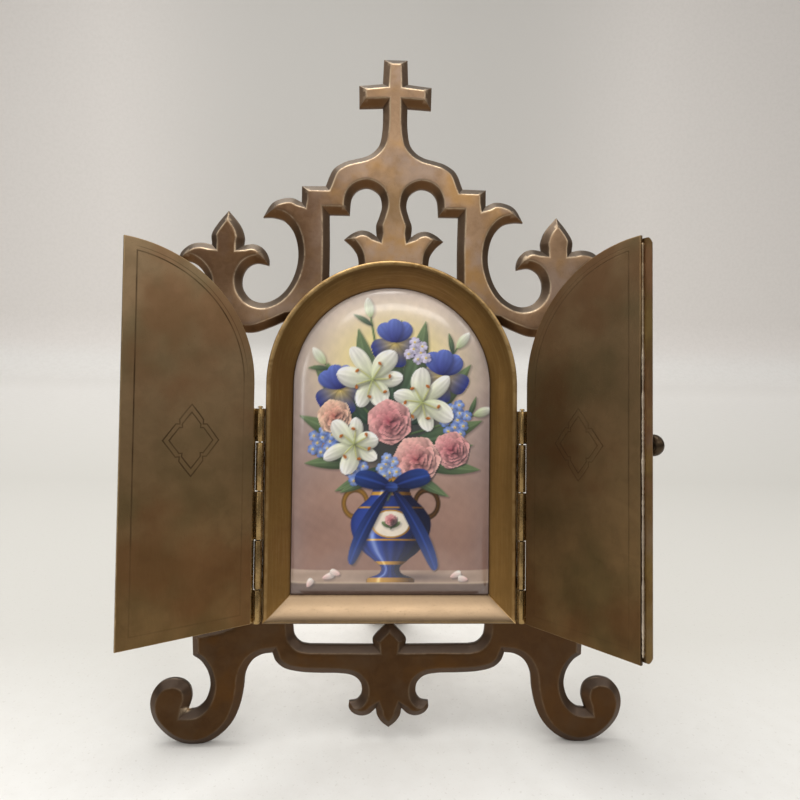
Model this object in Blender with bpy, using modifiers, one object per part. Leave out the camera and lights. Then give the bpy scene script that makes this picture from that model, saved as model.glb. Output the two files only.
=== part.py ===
"""A painted porcelain plaque in a brass table-altar frame.

An arched, domed porcelain tile sits in a proud arched moulding on one thick openwork plate, whose crest
carries a cross and whose legs roll up into scrolls. Two half-arch doors hang on five-knuckle hinges at the
moulding's sides, and a folding strut at the back lets the frame lean back on its feet.

The frame is modelled upright, with X to the right, Y to the back and Z up along the plate, and the empty
called lean tips it back on its feet. Lengths are in millimetres here and are written out in metres.
"""

import math

import bmesh
import bpy
import numpy as np
from mathutils import Vector

MM = 0.001

# Stance
LEAN = math.radians(10.0)        # how far the frame leans back
FOOT_FLAT = 0.7                  # depth worn off the rounded feet and the strut, level with the table

# The arch: everything that follows the frame's outline is measured from these
ARCH_RADIUS = 50.0               # half the moulding's outer width
STRAIGHT_HEIGHT = 94.0           # straight part of the moulding's sides
LEG_HEIGHT = 50.0                # from the feet's underside up to the moulding
ARCH_STEPS = 28                  # facets of the half circle

# Openwork plate. Y is zero where the chamfer starts on the plate's edge.
CHAMFER = 2.6
EDGE_BEHIND_CHAMFER = 1.6
LONGEST_MITRE = 1.45             # how far the chamfer runs past a hollow corner, as a multiple of its width
RING_INSET = 1.2                 # the plate's edge hides this far behind the moulding's
SLOT_TOP_INSET = 2.0             # the lower slot runs this far up behind the moulding
TURN_STEP = math.radians(15.0)   # a curve gets a facet for about this much turning

# Moulding
MOULDING_WIDTH = 10.4
MOULDING_HEIGHT = 5.3
LIP_WIDTH = 1.6
LIP_ROUND = 0.9
INNER_EDGE_DROP = 4.1            # the face falls this far from the lip to the picture
INNER_LIP = 0.6                  # thickness of the thin inner edge
REBATE_WIDTH = 2.0               # how far the moulding laps over the tile's seat
FACE_SWELL = 0.45                # how far the sloping face bulges

# Porcelain tile
SEAT_LAP = 1.7                   # the tile's flat margin under the moulding
TILE_THICKNESS = 4.3             # at its margin
DOME_STEPS = ((1.2, 0.75), (1.6, 0.60), (2.6, 0.50), (4.5, 0.35), (8.0, 0.25))   # (inward, forward)
TILE_CHAMFER = 0.5

# Back cover
COVER_INSET = 4.0
COVER_THICKNESS = 0.8

# Doors
DOOR_THICKNESS = 1.5
DOOR_INSET = 1.4                 # the leaf stops this far inside the moulding's outline
DOOR_FOOT_INSET = 1.4
MEETING_GAP = 0.8
LEFT_OPEN = math.radians(144.5)  # how far each door stands open from closed
RIGHT_OPEN = math.radians(125.6)

# Door hinges
BARREL_RADIUS = 1.5
BORE_RADIUS = 0.85
HINGE_PIN_RADIUS = 0.5
PIN_HEAD_RADIUS = 1.1
PIN_HEAD_HEIGHT = 0.7
HINGE_STRIP = 0.6                # thickness of the rolled brass
STRIP_SET_BACK = 2.1             # both strips stop this far from the barrel's axis, apart from their knuckles
DOOR_STRIP_WIDTH = 4.9
FRAME_STRIP_WIDTH = 4.0
DOOR_STRIP_SINK = 0.08           # the door's strip lies this far inside the barrel's front
BARREL_CLEARANCE = 0.1           # between the barrel and the plane of the moulding's side
HINGE_RISE = 0.8                 # the barrel starts this far above the moulding's foot
END_KNUCKLE = 13.3
MIDDLE_KNUCKLE = 19.0
BARREL_SIDES = 12

# Meeting strip and knob on the right door
ASTRAGAL_WIDTH = 5.4
ASTRAGAL_THICKNESS = 2.0
ASTRAGAL_END_INSET = 0.8
KNOB_HEIGHT_ON_DOOR = 71.5       # from the door's lower edge
KNOB_RADIUS = 3.7
KNOB_NECK_RADIUS = 1.6
KNOB_REACH = 5.6

# Strut at the back
STRUT_PIVOT_HEIGHT = 150.0
STRUT_PIVOT_DEPTH = 2.7          # from the hinge plate's face to the pin
STRUT_REACH = 97.0               # from the front feet back to the strut's foot, along the table
STRUT_THICKNESS = 1.6
STRUT_TOP_WIDTH = 22.0
STRUT_WAIST_WIDTH = 13.0
STRUT_FOOT_WIDTH = 24.0
STRUT_BARREL_RADIUS = 1.8
STRUT_PIN_RADIUS = 0.7
STRUT_BORE_RADIUS = 1.05
STRUT_KNUCKLE = 9.0              # length of the strut's own knuckle
HINGE_PLATE_WIDTH = 26.0
HINGE_PLATE_HEIGHT = 18.0
HINGE_PLATE_THICKNESS = 0.8

# Clearances between pieces that are screwed, soldered or hinged together
GAP = 0.3
KNUCKLE_GAP = 0.4
TILE_CLEARANCE = 0.4

# Worked out from the sizes above
SPRING = LEG_HEIGHT + STRAIGHT_HEIGHT                 # height of the arch's centre
CREST_UNIT = ARCH_RADIUS / 50                         # the crest is drawn for an arch of radius 50
LEG_UNIT = LEG_HEIGHT / 50                            # the legs and the rail are drawn for a height of 50
PLATE_FRONT = -CHAMFER
PLATE_BACK = EDGE_BEHIND_CHAMFER
MOULDING_BACK = PLATE_FRONT - GAP
MOULDING_FRONT = MOULDING_BACK - MOULDING_HEIGHT
REBATE_BACK = MOULDING_FRONT + INNER_EDGE_DROP + INNER_LIP
TILE_INSET = MOULDING_WIDTH - SEAT_LAP
TILE_FRONT = REBATE_BACK + GAP
COVER_FRONT = max(PLATE_BACK, TILE_FRONT + TILE_THICKNESS) + GAP
COVER_BACK = COVER_FRONT + COVER_THICKNESS
DOOR_INNER = MOULDING_FRONT - GAP                     # the closed leaf's face towards the tile
DOOR_OUTER = DOOR_INNER - DOOR_THICKNESS
STRIP_FRONT = DOOR_OUTER - GAP - HINGE_STRIP          # the door's hinge strip, on the leaf's outer face
AXIS_X = ARCH_RADIUS + BARREL_CLEARANCE + BARREL_RADIUS
AXIS_Y = STRIP_FRONT + BARREL_RADIUS - DOOR_STRIP_SINK
BARREL_LENGTH = 2 * END_KNUCKLE + 3 * MIDDLE_KNUCKLE
ASTRAGAL_BACK = DOOR_OUTER - GAP
ASTRAGAL_FRONT = ASTRAGAL_BACK - ASTRAGAL_THICKNESS
DOOR_FOOT = LEG_HEIGHT + DOOR_FOOT_INSET
HINGE_PLATE_FRONT = COVER_BACK + GAP
HINGE_PLATE_BACK = HINGE_PLATE_FRONT + HINGE_PLATE_THICKNESS
STRUT_PIVOT_Y = HINGE_PLATE_BACK + STRUT_PIVOT_DEPTH


# Scene, collections and materials

for old in list(bpy.data.objects):
    bpy.data.objects.remove(old)

parts = bpy.data.collections.new("porcelain_plaque_in_brass_frame")
cutters = bpy.data.collections.new("cutters")
for group in (parts, cutters):
    bpy.context.scene.collection.children.link(group)


def material(name, color, metallic, roughness):
    made = bpy.data.materials.new(name)
    made.use_nodes = True
    shader = made.node_tree.nodes["Principled BSDF"]
    shader.inputs["Base Color"].default_value = (*color, 1.0)
    shader.inputs["Metallic"].default_value = metallic
    shader.inputs["Roughness"].default_value = roughness
    return made


aged_brass = material("aged_brass", (0.20, 0.12, 0.06), 1.0, 0.42)
moulding_brass = material("moulding_brass", (0.34, 0.23, 0.11), 1.0, 0.35)
door_brass = material("door_brass", (0.24, 0.16, 0.08), 1.0, 0.40)
hinge_brass = material("hinge_brass", (0.42, 0.32, 0.18), 1.0, 0.38)
porcelain = material("glazed_porcelain", (0.72, 0.60, 0.58), 0.0, 0.12)


def place(obj, parent, finish, group=parts):
    """Puts an object in its collection, under its parent, with its finish."""
    group.objects.link(obj)
    obj.parent = parent
    obj.data.materials.append(finish)
    return obj


def empty(name, parent, location, rotation=(0, 0, 0)):
    made = bpy.data.objects.new(name, None)
    parts.objects.link(made)
    made.parent = parent
    made.location = Vector(location) * MM
    made.rotation_euler = rotation
    return made


def mesh_object(name, bm, parent, finish, smooth_angle=None, group=parts):
    """A named object from a mesh in millimetres."""
    bmesh.ops.scale(bm, vec=(MM, MM, MM), verts=bm.verts)
    bmesh.ops.recalc_face_normals(bm, faces=bm.faces)
    mesh = bpy.data.meshes.new(name)
    bm.to_mesh(mesh)
    bm.free()
    if smooth_angle:
        mesh.shade_smooth()
        mesh.set_sharp_from_angle(angle=smooth_angle)
    return place(bpy.data.objects.new(name, mesh), parent, finish, group)


def flat_piece(name, outline, front, thickness, parent, finish):
    """A sheet cut to an outline of (x, z) points and standing upright behind the plane y = front."""
    curve = bpy.data.curves.new(name, "CURVE")
    curve.dimensions = "2D"
    curve.fill_mode = "BOTH"
    curve.extrude = 0.5 * thickness * MM
    spline = curve.splines.new("POLY")
    spline.points.add(len(outline) - 1)
    for point, (x, z) in zip(spline.points, outline):
        point.co = (x * MM, z * MM, 0.0, 1.0)
    spline.use_cyclic_u = True
    made = place(bpy.data.objects.new(name, curve), parent, finish)
    made.rotation_euler.x = math.radians(90)
    made.location.y = (front + 0.5 * thickness) * MM
    return made


def add_box(bm, low, high):
    made = bmesh.ops.create_cube(bm, size=1.0)
    size = Vector(high) - Vector(low)
    bmesh.ops.scale(bm, vec=size, verts=made["verts"])
    bmesh.ops.translate(bm, vec=(Vector(high) + Vector(low)) / 2, verts=made["verts"])


def add_rod(bm, start, end, radius, sides=BARREL_SIDES):
    """A cylinder between two points on one axis."""
    along = Vector(end) - Vector(start)
    turn = along.to_track_quat("Z", "Y").to_matrix()
    made = bmesh.ops.create_cone(
        bm, cap_ends=True, segments=sides, radius1=radius, radius2=radius, depth=along.length)
    bmesh.ops.rotate(bm, matrix=turn, verts=made["verts"])
    bmesh.ops.translate(bm, vec=(Vector(start) + Vector(end)) / 2, verts=made["verts"])


def boolean(target, operand, operation):
    """Joins or cuts target with a hidden operand."""
    operand.hide_render = True
    operand.display_type = "WIRE"
    modifier = target.modifiers.new(operation.lower(), "BOOLEAN")
    modifier.object = operand
    modifier.operation = operation
    modifier.solver = "EXACT"


def turned(name, profile, parent, finish, steps):
    """A turned piece: its profile of (radius, height) points, top to bottom, spun about Z."""
    bm = bmesh.new()
    points = [bm.verts.new((radius * MM, 0, height * MM)) for radius, height in profile]
    for upper, lower in zip(points, points[1:]):
        bm.edges.new((upper, lower))
    mesh = bpy.data.meshes.new(name)
    bm.to_mesh(mesh)
    bm.free()
    made = place(bpy.data.objects.new(name, mesh), parent, finish)
    screw = made.modifiers.new("turn", "SCREW")
    screw.steps = steps
    screw.render_steps = steps
    screw.use_merge_vertices = True
    screw.merge_threshold = 0.00005
    return made


# Outlines


def curve_through(keys):
    """Points along a smooth curve through the keys, without the last one, with more where it turns more."""
    keys = [Vector(key) for key in keys]
    before = 2 * keys[0] - keys[1]
    after = 2 * keys[-1] - keys[-2]
    run = [before, *keys, after]
    points = []
    for p0, p1, p2, p3 in zip(run, run[1:], run[2:], run[3:]):
        leave, arrive = p2 - p0, p3 - p1
        turn = leave.angle(arrive, 0.0) + 0.5 * (p1 - p0).angle(p2 - p1, 0.0)
        reach = (p2 - p1).length / max((p1 - p0).length + (p2 - p1).length, 1e-6)
        land = (p2 - p1).length / max((p2 - p1).length + (p3 - p2).length, 1e-6)
        steps = max(1, round(turn / TURN_STEP))
        for step in range(steps):
            t = step / steps
            points.append(
                p1 * (2 * t**3 - 3 * t**2 + 1) + leave * reach * (t**3 - 2 * t**2 + t)
                + p2 * (3 * t**2 - 2 * t**3) + arrive * land * (t**3 - t**2))
    return [tuple(point) for point in points]


def outline_through(stretches):
    """One open outline from stretches of keys, where each stretch starts at the corner that ended the last."""
    points = []
    corner = stretches[0][0]
    for stretch in stretches:
        keys = stretch if stretch is stretches[0] else [corner, *stretch]
        points += curve_through(keys)
        corner = keys[-1]
    return [*points, corner]


def arc(radius, start, end, steps):
    """Points of a circle about the arch's centre, from one angle to another."""
    angles = [start + (end - start) * step / steps for step in range(steps + 1)]
    return [(radius * math.cos(a), SPRING + radius * math.sin(a)) for a in angles]


def arched_outline(inset):
    """The closed outline of the arch, counter-clockwise, a given distance inside the moulding's outer edge."""
    radius = ARCH_RADIUS - inset
    foot = LEG_HEIGHT + inset
    return [(-radius, foot), (radius, foot), *arc(radius, 0, math.pi, ARCH_STEPS)]


def mirrored(half):
    """The whole symmetric loop from a right half that starts and ends on the centre line."""
    return half + [(-x, z) for x, z in reversed(half) if abs(x) > 1e-6]


def crest_point(x, z):
    """A point of the crest as drawn about the arch's centre, set to the arch's real size."""
    return (x * CREST_UNIT, SPRING + z * CREST_UNIT)


def leg_point(x, z):
    """A point of the legs and rail as drawn from the table, set to the real leg height and frame width."""
    return (x * CREST_UNIT, z * LEG_UNIT)


def crest_half():
    """The right half of the crest, from the top of the cross down to the wing's join with the ring."""
    cross = [(0, 136), (4.9, 136)], [(5.3, 125.8)], [(15.1, 124.7)], [(14.9, 115.5)], [(5.1, 116.0)]
    ogee = [(5.2, 107), (6.3, 100.4), (8.8, 97.0), (12.2, 95.0), (16.6, 93.8), (21, 92.4), (25.4, 89.2), (28.4, 82.3)]
    step = [(38.1, 82.1)], [(38.1, 75.4)]
    leaf = [(41.6, 77.0), (46.0, 76.7), (50.2, 74.6), (53.7, 68.8)]
    scroll = [(49.5, 68.8), (45.0, 67.4), (41.2, 62.8), (39.3, 56.0), (39.6, 49.0), (42.2, 41.7), (46.6, 36.3),
              (52.4, 33.6), (57.6, 34.6), (61.2, 38.6), (61.8, 43.2), (59.9, 47.6), (56.2, 49.7), (51.0, 48.9)]
    inner_petal = [(51.0, 51.3), (52.2, 54.4), (54.6, 56.7), (57.8, 57.6), (61.5, 57.0)]
    middle_petal = [(61.2, 60.4), (63.0, 65.4), (67.7, 71.2)], [(71.9, 66.0), (74.5, 61.4), (74.3, 57.1)]
    outer_petal = [(78.2, 57.8), (82.3, 57.2), (85.6, 55.0), (87.3, 52.2), (86.8, 49.4)]
    wing = [(83.2, 50.0), (79.4, 48.0), (76.6, 44.2), (75.2, 38.0), (73.2, 31.2), (68.8, 25.2), (62.8, 21.9),
            (57.0, 21.3), (50.0, 23.6), (43.0, 26.8)]
    drawn = [*cross, ogee, *step, leaf, scroll, inner_petal, *middle_petal, outer_petal, wing]
    return outline_through([[crest_point(x, z) for x, z in stretch] for stretch in drawn])


def legs_half():
    """The right half of the legs and rail, from the ring's side down to the pendant's tip."""
    shoulder = [(58, 53.0), (67, 47.6), (79.1, 45.4)], [(78.6, 35.2)]
    hollow = [(75.2, 32.8), (72.4, 28.4), (71.5, 23.2), (73.2, 17.6), (76.6, 14.3), (80.1, 13.6)]
    volute = [(78.7, 18.8), (79.8, 23.3), (83.0, 25.6), (87.0, 26.0), (91.2, 24.4), (94.2, 20.6), (95.1, 15.6),
              (93.6, 10.0), (89.8, 5.2), (84.6, 1.6), (78.2, 0.0), (71.8, 1.1), (66.4, 4.4), (62.2, 9.2),
              (59.7, 15.0), (58.3, 21.6), (57.5, 28.4), (54.8, 33.2), (51.0, 35.5), (47.0, 36.1)]
    rail = [(45.6, 32.8), (42.2, 30.0), (36.0, 28.5), (28.0, 28.0), (19.5, 27.8), (14.4, 26.8), (11.4, 24.0),
            (11.0, 20.0), (12.8, 17.3), (16.0, 16.6)]
    petal = [(16.0, 14.0), (14.2, 11.9), (11.0, 10.9), (7.8, 11.6), (5.2, 13.8)]
    tip = [(4.6, 11.0), (2.8, 8.4), (0, 6.3)]
    drawn = [*shoulder, hollow, volute, rail, petal, tip]
    start = (ARCH_RADIUS - RING_INSET, leg_point(0, 72)[1])
    placed = [[leg_point(x, z) for x, z in stretch] for stretch in drawn]
    placed[0] = [start, (start[0] + 2.2, leg_point(0, 62.5)[1]), *placed[0]]
    return outline_through(placed)


def plate_outline():
    """The outside of the openwork plate, counter-clockwise. The wing's lower edge joins the ring 40 across."""
    ring = ARCH_RADIUS - RING_INSET
    join, _ = crest_point(40.0, 0)
    side = arc(ring, math.acos(join / ring), 0, 5)
    right = crest_half() + side + legs_half()
    return mirrored(right)[::-1]


def crest_opening():
    """The right of the two openings between the crest's bars and the arch, clockwise."""
    ring = ARCH_RADIUS - RING_INSET
    leaf = [(14.2, 46.6), (14.9, 53.4), (17.2, 57.2), (20.5, 60.2)]
    leaf_top = [(17.4, 62.7), (13.8, 64.2), (10.3, 63.8), (7.1, 61.8)]
    lobe = [(7.4, 66.2), (6.1, 70.2), (5.1, 74.6), (6.4, 79.4), (10.8, 82.0), (15.2, 80.8), (17.6, 77.4), (18.3, 70.5)]
    bar = [(26.6, 70.5)], [(26.3, 56), (26.4, 41.0)]
    drawn = [leaf, leaf_top, lobe, *bar]
    placed = outline_through([[crest_point(x, z) for x, z in stretch] for stretch in drawn])
    low, high = placed[0][0], placed[-1][0]
    bottom = arc(ring, math.acos(high / ring), math.acos(low / ring), 3)
    return placed[1:-1] + bottom


def base_slot():
    """The long opening between the moulding and the rail, around the pendant's upper leaf, clockwise."""
    top = LEG_HEIGHT + SLOT_TOP_INSET
    tip = [(0, 48.9), (3.2, 45.2), (6.8, 39.1)]
    floor = [(19, 39.3), (32.2, 39.4)], [(35.6, 40.2), (38.2, 43.0), (38.9, 47.0)]
    right = outline_through([[leg_point(x, z) for x, z in stretch] for stretch in (tip, *floor)])
    right.append((leg_point(38.9, 0)[0], top))
    left = [(-x, z) for x, z in reversed(right[1:])]
    return (right + left)[::-1]


# Openwork plate


def segment_distances(points, loops):
    """The distance from each point to the nearest edge of any loop, as an array."""
    starts = np.concatenate([np.array(loop) for loop in loops])
    ends = np.concatenate([np.roll(np.array(loop), -1, axis=0) for loop in loops])
    along = ends - starts
    offset = points[:, None, :] - starts[None]
    share = np.clip((offset * along).sum(-1) / (along**2).sum(-1), 0, 1)
    return np.linalg.norm(offset - share[..., None] * along, axis=-1).min(axis=1)


def inset_loop(loop, loops, width):
    """A loop moved inward by width, with mitred corners. Points that would cross the middle of a narrow tip
    are gathered in one point there, where the two chamfers meet."""
    points = np.array(loop)
    edges = np.roll(points, -1, axis=0) - points
    normals = np.stack([-edges[:, 1], edges[:, 0]], axis=1)
    normals /= np.linalg.norm(normals, axis=1)[:, None]
    bisectors = normals + np.roll(normals, 1, axis=0)
    bisectors /= np.maximum(np.linalg.norm(bisectors, axis=1), 1e-6)[:, None]
    before = np.roll(edges, 1, axis=0)
    hollow = before[:, 0] * edges[:, 1] - before[:, 1] * edges[:, 0] < 0
    mitres = 1 / np.maximum((bisectors * normals).sum(1), 0.3)
    mitres[hollow] = np.minimum(mitres[hollow], LONGEST_MITRE)
    moved = points + bisectors * (width * mitres)[:, None]
    sound = segment_distances(moved, loops) > 0.93 * width
    count = len(loop)
    first = int(np.argmax(sound))
    index = first
    while index < first + count:
        if sound[index % count]:
            index += 1
            continue
        end = index
        while not sound[end % count]:
            end += 1
        meeting = (moved[(index - 1) % count] + moved[end % count]) / 2
        for inside in range(index, end):
            moved[inside % count] = meeting
        index = end
    return [tuple(point) for point in moved]


def ring_of(bm, loop, y):
    """Vertices of a loop at one depth, with one vertex for points that coincide, and the loop's edges."""
    found = {}
    vertices = []
    for x, z in loop:
        key = (round(x, 5), round(z, 5))
        if key not in found:
            found[key] = bm.verts.new((x, y, z))
        vertices.append(found[key])
    return vertices


def ring_edges(bm, ring):
    pairs = [(a, b) for a, b in zip(ring, ring[1:] + ring[:1]) if a is not b]
    return [bm.edges.get(pair) or bm.edges.new(pair) for pair in pairs]


def strip_between(bm, lower, upper):
    """Faces between two rings of the same count, where the upper one may hold the same vertex twice."""
    count = len(lower)
    for here in range(count):
        there = (here + 1) % count
        corners = [lower[here], lower[there], upper[there], upper[here]]
        if upper[there] is upper[here]:
            corners.pop()
        bm.faces.new(corners)


def cut_level(bm, height):
    """Cuts off what lies below the table, which the leaning frame stands on, and closes the cut."""
    level = Vector((0, -math.sin(LEAN), math.cos(LEAN)))
    everything = [*bm.verts, *bm.edges, *bm.faces]
    cut = bmesh.ops.bisect_plane(
        bm, geom=everything, plane_co=level * height, plane_no=level, clear_inner=True)
    edges = [item for item in cut["geom_cut"] if isinstance(item, bmesh.types.BMEdge)]
    bmesh.ops.edgeloop_fill(bm, edges=edges)


def openwork_plate():
    opening = crest_opening()
    other_opening = [(-x, z) for x, z in reversed(opening)]
    window = arched_outline(TILE_INSET - TILE_CLEARANCE)[::-1]
    loops = [plate_outline(), opening, other_opening, window, base_slot()]
    bm = bmesh.new()
    front_edges, back_edges = [], []
    for loop in loops:
        back = ring_of(bm, loop, PLATE_BACK)
        edge = ring_of(bm, loop, 0)
        is_window = loop is window
        front = ring_of(bm, loop if is_window else inset_loop(loop, loops, CHAMFER), PLATE_FRONT)
        strip_between(bm, back, edge)
        strip_between(bm, edge, front)
        back_edges += ring_edges(bm, back)
        front_edges += ring_edges(bm, front)
    bmesh.ops.triangle_fill(bm, edges=back_edges, use_beauty=True)
    bmesh.ops.triangle_fill(bm, edges=front_edges, use_beauty=True)
    bmesh.ops.recalc_face_normals(bm, faces=bm.faces)
    cut_level(bm, TABLE)
    return mesh_object("openwork_plate", bm, lean, aged_brass)


# Moulding, tile and cover


def moulding_profile():
    """The moulding's section as (inset, depth) points: a rounded lip, then a swelling face that falls inward."""
    rounding = [(LIP_ROUND * (1 - math.cos(a)), MOULDING_FRONT + LIP_ROUND * (1 - math.sin(a)))
                for a in (0, math.radians(30), math.radians(60), math.radians(90))]
    fall = MOULDING_WIDTH - LIP_WIDTH
    face = []
    for share in (0, 0.25, 0.5, 0.75, 1.0):
        swell = FACE_SWELL * 4 * share * (1 - share)
        depth = MOULDING_FRONT + 0.1 + (INNER_EDGE_DROP - 0.1) * share - swell
        face.append((LIP_WIDTH + fall * share, depth))
    rebate = MOULDING_WIDTH - REBATE_WIDTH
    back = [(MOULDING_WIDTH, REBATE_BACK), (rebate, REBATE_BACK), (rebate, MOULDING_BACK), (0, MOULDING_BACK)]
    return rounding + face + back


def arch_frame():
    """The profile is drawn up the right side, spun over the arch, drawn down the left side and bridged along
    the foot, so that both lower corners are mitred."""
    bm = bmesh.new()
    ring = [bm.verts.new((ARCH_RADIUS - inset, y, LEG_HEIGHT + inset)) for inset, y in moulding_profile()]
    foot_right = ring_edges(bm, ring)

    def drawn_to(edges, height_of):
        made = bmesh.ops.extrude_edge_only(bm, edges=edges)["geom"]
        for vertex in (item for item in made if isinstance(item, bmesh.types.BMVert)):
            vertex.co.z = height_of(vertex.co)
        return [item for item in made if isinstance(item, bmesh.types.BMEdge)]

    spring_right = drawn_to(foot_right, lambda co: SPRING)
    spun = bmesh.ops.spin(
        bm, geom=spring_right, cent=(0, 0, SPRING), axis=(0, -1, 0), angle=math.pi, steps=ARCH_STEPS)
    spring_left = [item for item in spun["geom_last"] if isinstance(item, bmesh.types.BMEdge)]
    foot_left = drawn_to(spring_left, lambda co: LEG_HEIGHT + ARCH_RADIUS - abs(co.x))
    bmesh.ops.bridge_loops(bm, edges=foot_left + foot_right)
    return mesh_object("arch_frame", bm, lean, moulding_brass, smooth_angle=math.radians(40))


def porcelain_plaque():
    """An arched slab whose front is inset in steps that rise towards the middle, and whose back is chamfered."""
    bm = bmesh.new()
    outline = arched_outline(TILE_INSET)
    back = TILE_FRONT + TILE_THICKNESS
    vertices = [bm.verts.new((x, back - TILE_CHAMFER, z)) for x, z in outline]
    rear = bm.faces.new(vertices)
    front = bmesh.ops.extrude_face_region(bm, geom=[rear], use_keep_orig=True)["geom"]
    for vertex in (item for item in front if isinstance(item, bmesh.types.BMVert)):
        vertex.co.y = TILE_FRONT
    face = next(item for item in front if isinstance(item, bmesh.types.BMFace))
    bmesh.ops.recalc_face_normals(bm, faces=bm.faces)
    bmesh.ops.inset_region(bm, faces=[rear], thickness=TILE_CHAMFER, depth=TILE_CHAMFER)
    bmesh.ops.inset_region(bm, faces=[face], thickness=SEAT_LAP + GAP, depth=0)
    for inward, forward in DOME_STEPS:
        bmesh.ops.inset_region(bm, faces=[face], thickness=inward, depth=forward)
    return mesh_object("porcelain_plaque", bm, lean, porcelain, smooth_angle=math.radians(40))


def back_cover():
    return flat_piece(
        "back_cover", arched_outline(COVER_INSET), COVER_FRONT, COVER_THICKNESS, lean, door_brass)


# Doors. Each is drawn closed, and its parent empty on the hinge axis swings it open.


def door_leaf(side, axis):
    """Half an arch, from the meeting line to the hinge."""
    radius = ARCH_RADIUS - DOOR_INSET
    meeting = 0.5 * MEETING_GAP
    top = arc(radius, 0, math.acos(meeting / radius), ARCH_STEPS // 2)
    outline = [(meeting, DOOR_FOOT), (radius, DOOR_FOOT), *top]
    placed = [(side * (x - AXIS_X), z) for x, z in outline]
    name = "right_door" if side > 0 else "left_door"
    return flat_piece(name, placed, DOOR_INNER - AXIS_Y - DOOR_THICKNESS, DOOR_THICKNESS, axis, door_brass)


def knuckle_spans():
    """(low, high) of the five knuckles, bottom to top."""
    lengths = (END_KNUCKLE, MIDDLE_KNUCKLE, MIDDLE_KNUCKLE, MIDDLE_KNUCKLE, END_KNUCKLE)
    spans = []
    low = LEG_HEIGHT + HINGE_RISE
    for length in lengths:
        spans.append((low + 0.5 * KNUCKLE_GAP, low + length - 0.5 * KNUCKLE_GAP))
        low += length
    return spans


def hinge_leaf(name, parent, spans, width, low_side, along_x):
    """A comb of sheet whose teeth run into rolled knuckles, in the barrel's frame, where the axis is X = Y = 0.
    The sheet runs from the axis along X or Y, towards the sign of width, and its thickness starts at low_side
    on the other axis."""
    every = knuckle_spans()
    bottom, top = every[0][0], every[-1][1]
    set_back = math.copysign(STRIP_SET_BACK, width)
    comb = [(set_back + width, bottom), (set_back + width, top), (set_back, top)]
    for low, high in reversed(spans):
        comb += [(set_back, high), (0, high), (0, low), (set_back, low)]
    comb.append((set_back, bottom))
    comb = [point for point, after in zip(comb, comb[1:] + comb[:1]) if point != after]
    bm = bmesh.new()
    loop = [bm.verts.new((u, low_side, z) if along_x else (low_side, u, z)) for u, z in comb]
    sheet = bm.faces.new(loop)
    made = bmesh.ops.extrude_face_region(bm, geom=[sheet], use_keep_orig=True)["geom"]
    step = (0, HINGE_STRIP, 0) if along_x else (HINGE_STRIP, 0, 0)
    bmesh.ops.translate(bm, vec=step, verts=[item for item in made if isinstance(item, bmesh.types.BMVert)])
    bmesh.ops.triangulate(bm, faces=[face for face in bm.faces if len(face.verts) > 4])
    leaf = mesh_object(name, bm, parent, hinge_brass)
    barrels, bore = bmesh.new(), bmesh.new()
    for low, high in spans:
        add_rod(barrels, (0, 0, low), (0, 0, high), BARREL_RADIUS)
    add_rod(bore, (0, 0, bottom - 1), (0, 0, top + 1), BORE_RADIUS)
    boolean(leaf, mesh_object(f"{name}_barrels", barrels, parent, hinge_brass, group=cutters), "UNION")
    boolean(leaf, mesh_object(f"{name}_bore", bore, parent, hinge_brass, group=cutters), "DIFFERENCE")
    return leaf


def door_hinge(side, door_axis, fixed_axis):
    name = "right" if side > 0 else "left"
    spans = knuckle_spans()
    # The door's strip lies on the leaf's outer face, and the other one on the moulding's side.
    hinge_leaf(f"{name}_door_hinge_leaf", door_axis, spans[0::2],
               -side * DOOR_STRIP_WIDTH, STRIP_FRONT - AXIS_Y, along_x=True)
    near = AXIS_X - ARCH_RADIUS - GAP - HINGE_STRIP
    side_of_strip = -near - HINGE_STRIP if side > 0 else near
    hinge_leaf(f"{name}_frame_hinge_leaf", fixed_axis, spans[1::2],
               FRAME_STRIP_WIDTH, side_of_strip, along_x=False)
    bottom, top = spans[0][0], spans[-1][1]
    head = PIN_HEAD_HEIGHT
    profile = [(0, top + GAP + head), (0.6 * PIN_HEAD_RADIUS, top + GAP + 0.85 * head),
               (PIN_HEAD_RADIUS, top + GAP), (HINGE_PIN_RADIUS, top + GAP), (HINGE_PIN_RADIUS, bottom), (0, bottom)]
    turned(f"{name}_hinge_pin", profile, fixed_axis, hinge_brass, BARREL_SIDES)


def door_astragal(axis):
    """A half-round strip on the right door's outer face, over the meeting line, with a rounded top and foot."""
    half = 0.5 * ASTRAGAL_WIDTH
    low = DOOR_FOOT + ASTRAGAL_END_INSET
    high = SPRING + ARCH_RADIUS - DOOR_INSET - ASTRAGAL_END_INSET
    section = [(half * math.cos(a), -ASTRAGAL_THICKNESS * math.sin(a)) for a in np.linspace(0, math.pi, 9)]
    stations = [(0.5, 0), (0.86, 0.45), (1.0, 1.6)]
    bm = bmesh.new()
    rings = []
    for height, scale in [(low + rise, share) for share, rise in stations] + [
            (high - rise, share) for share, rise in reversed(stations)]:
        rings.append([bm.verts.new((x * scale - AXIS_X, y * scale + ASTRAGAL_BACK - AXIS_Y, height))
                      for x, y in section])
    for lower, upper in zip(rings, rings[1:]):
        strip_between(bm, lower, upper)
    bm.faces.new(rings[0])
    bm.faces.new(rings[-1])
    return mesh_object("door_astragal", bm, axis, door_brass, smooth_angle=math.radians(40))


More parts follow.
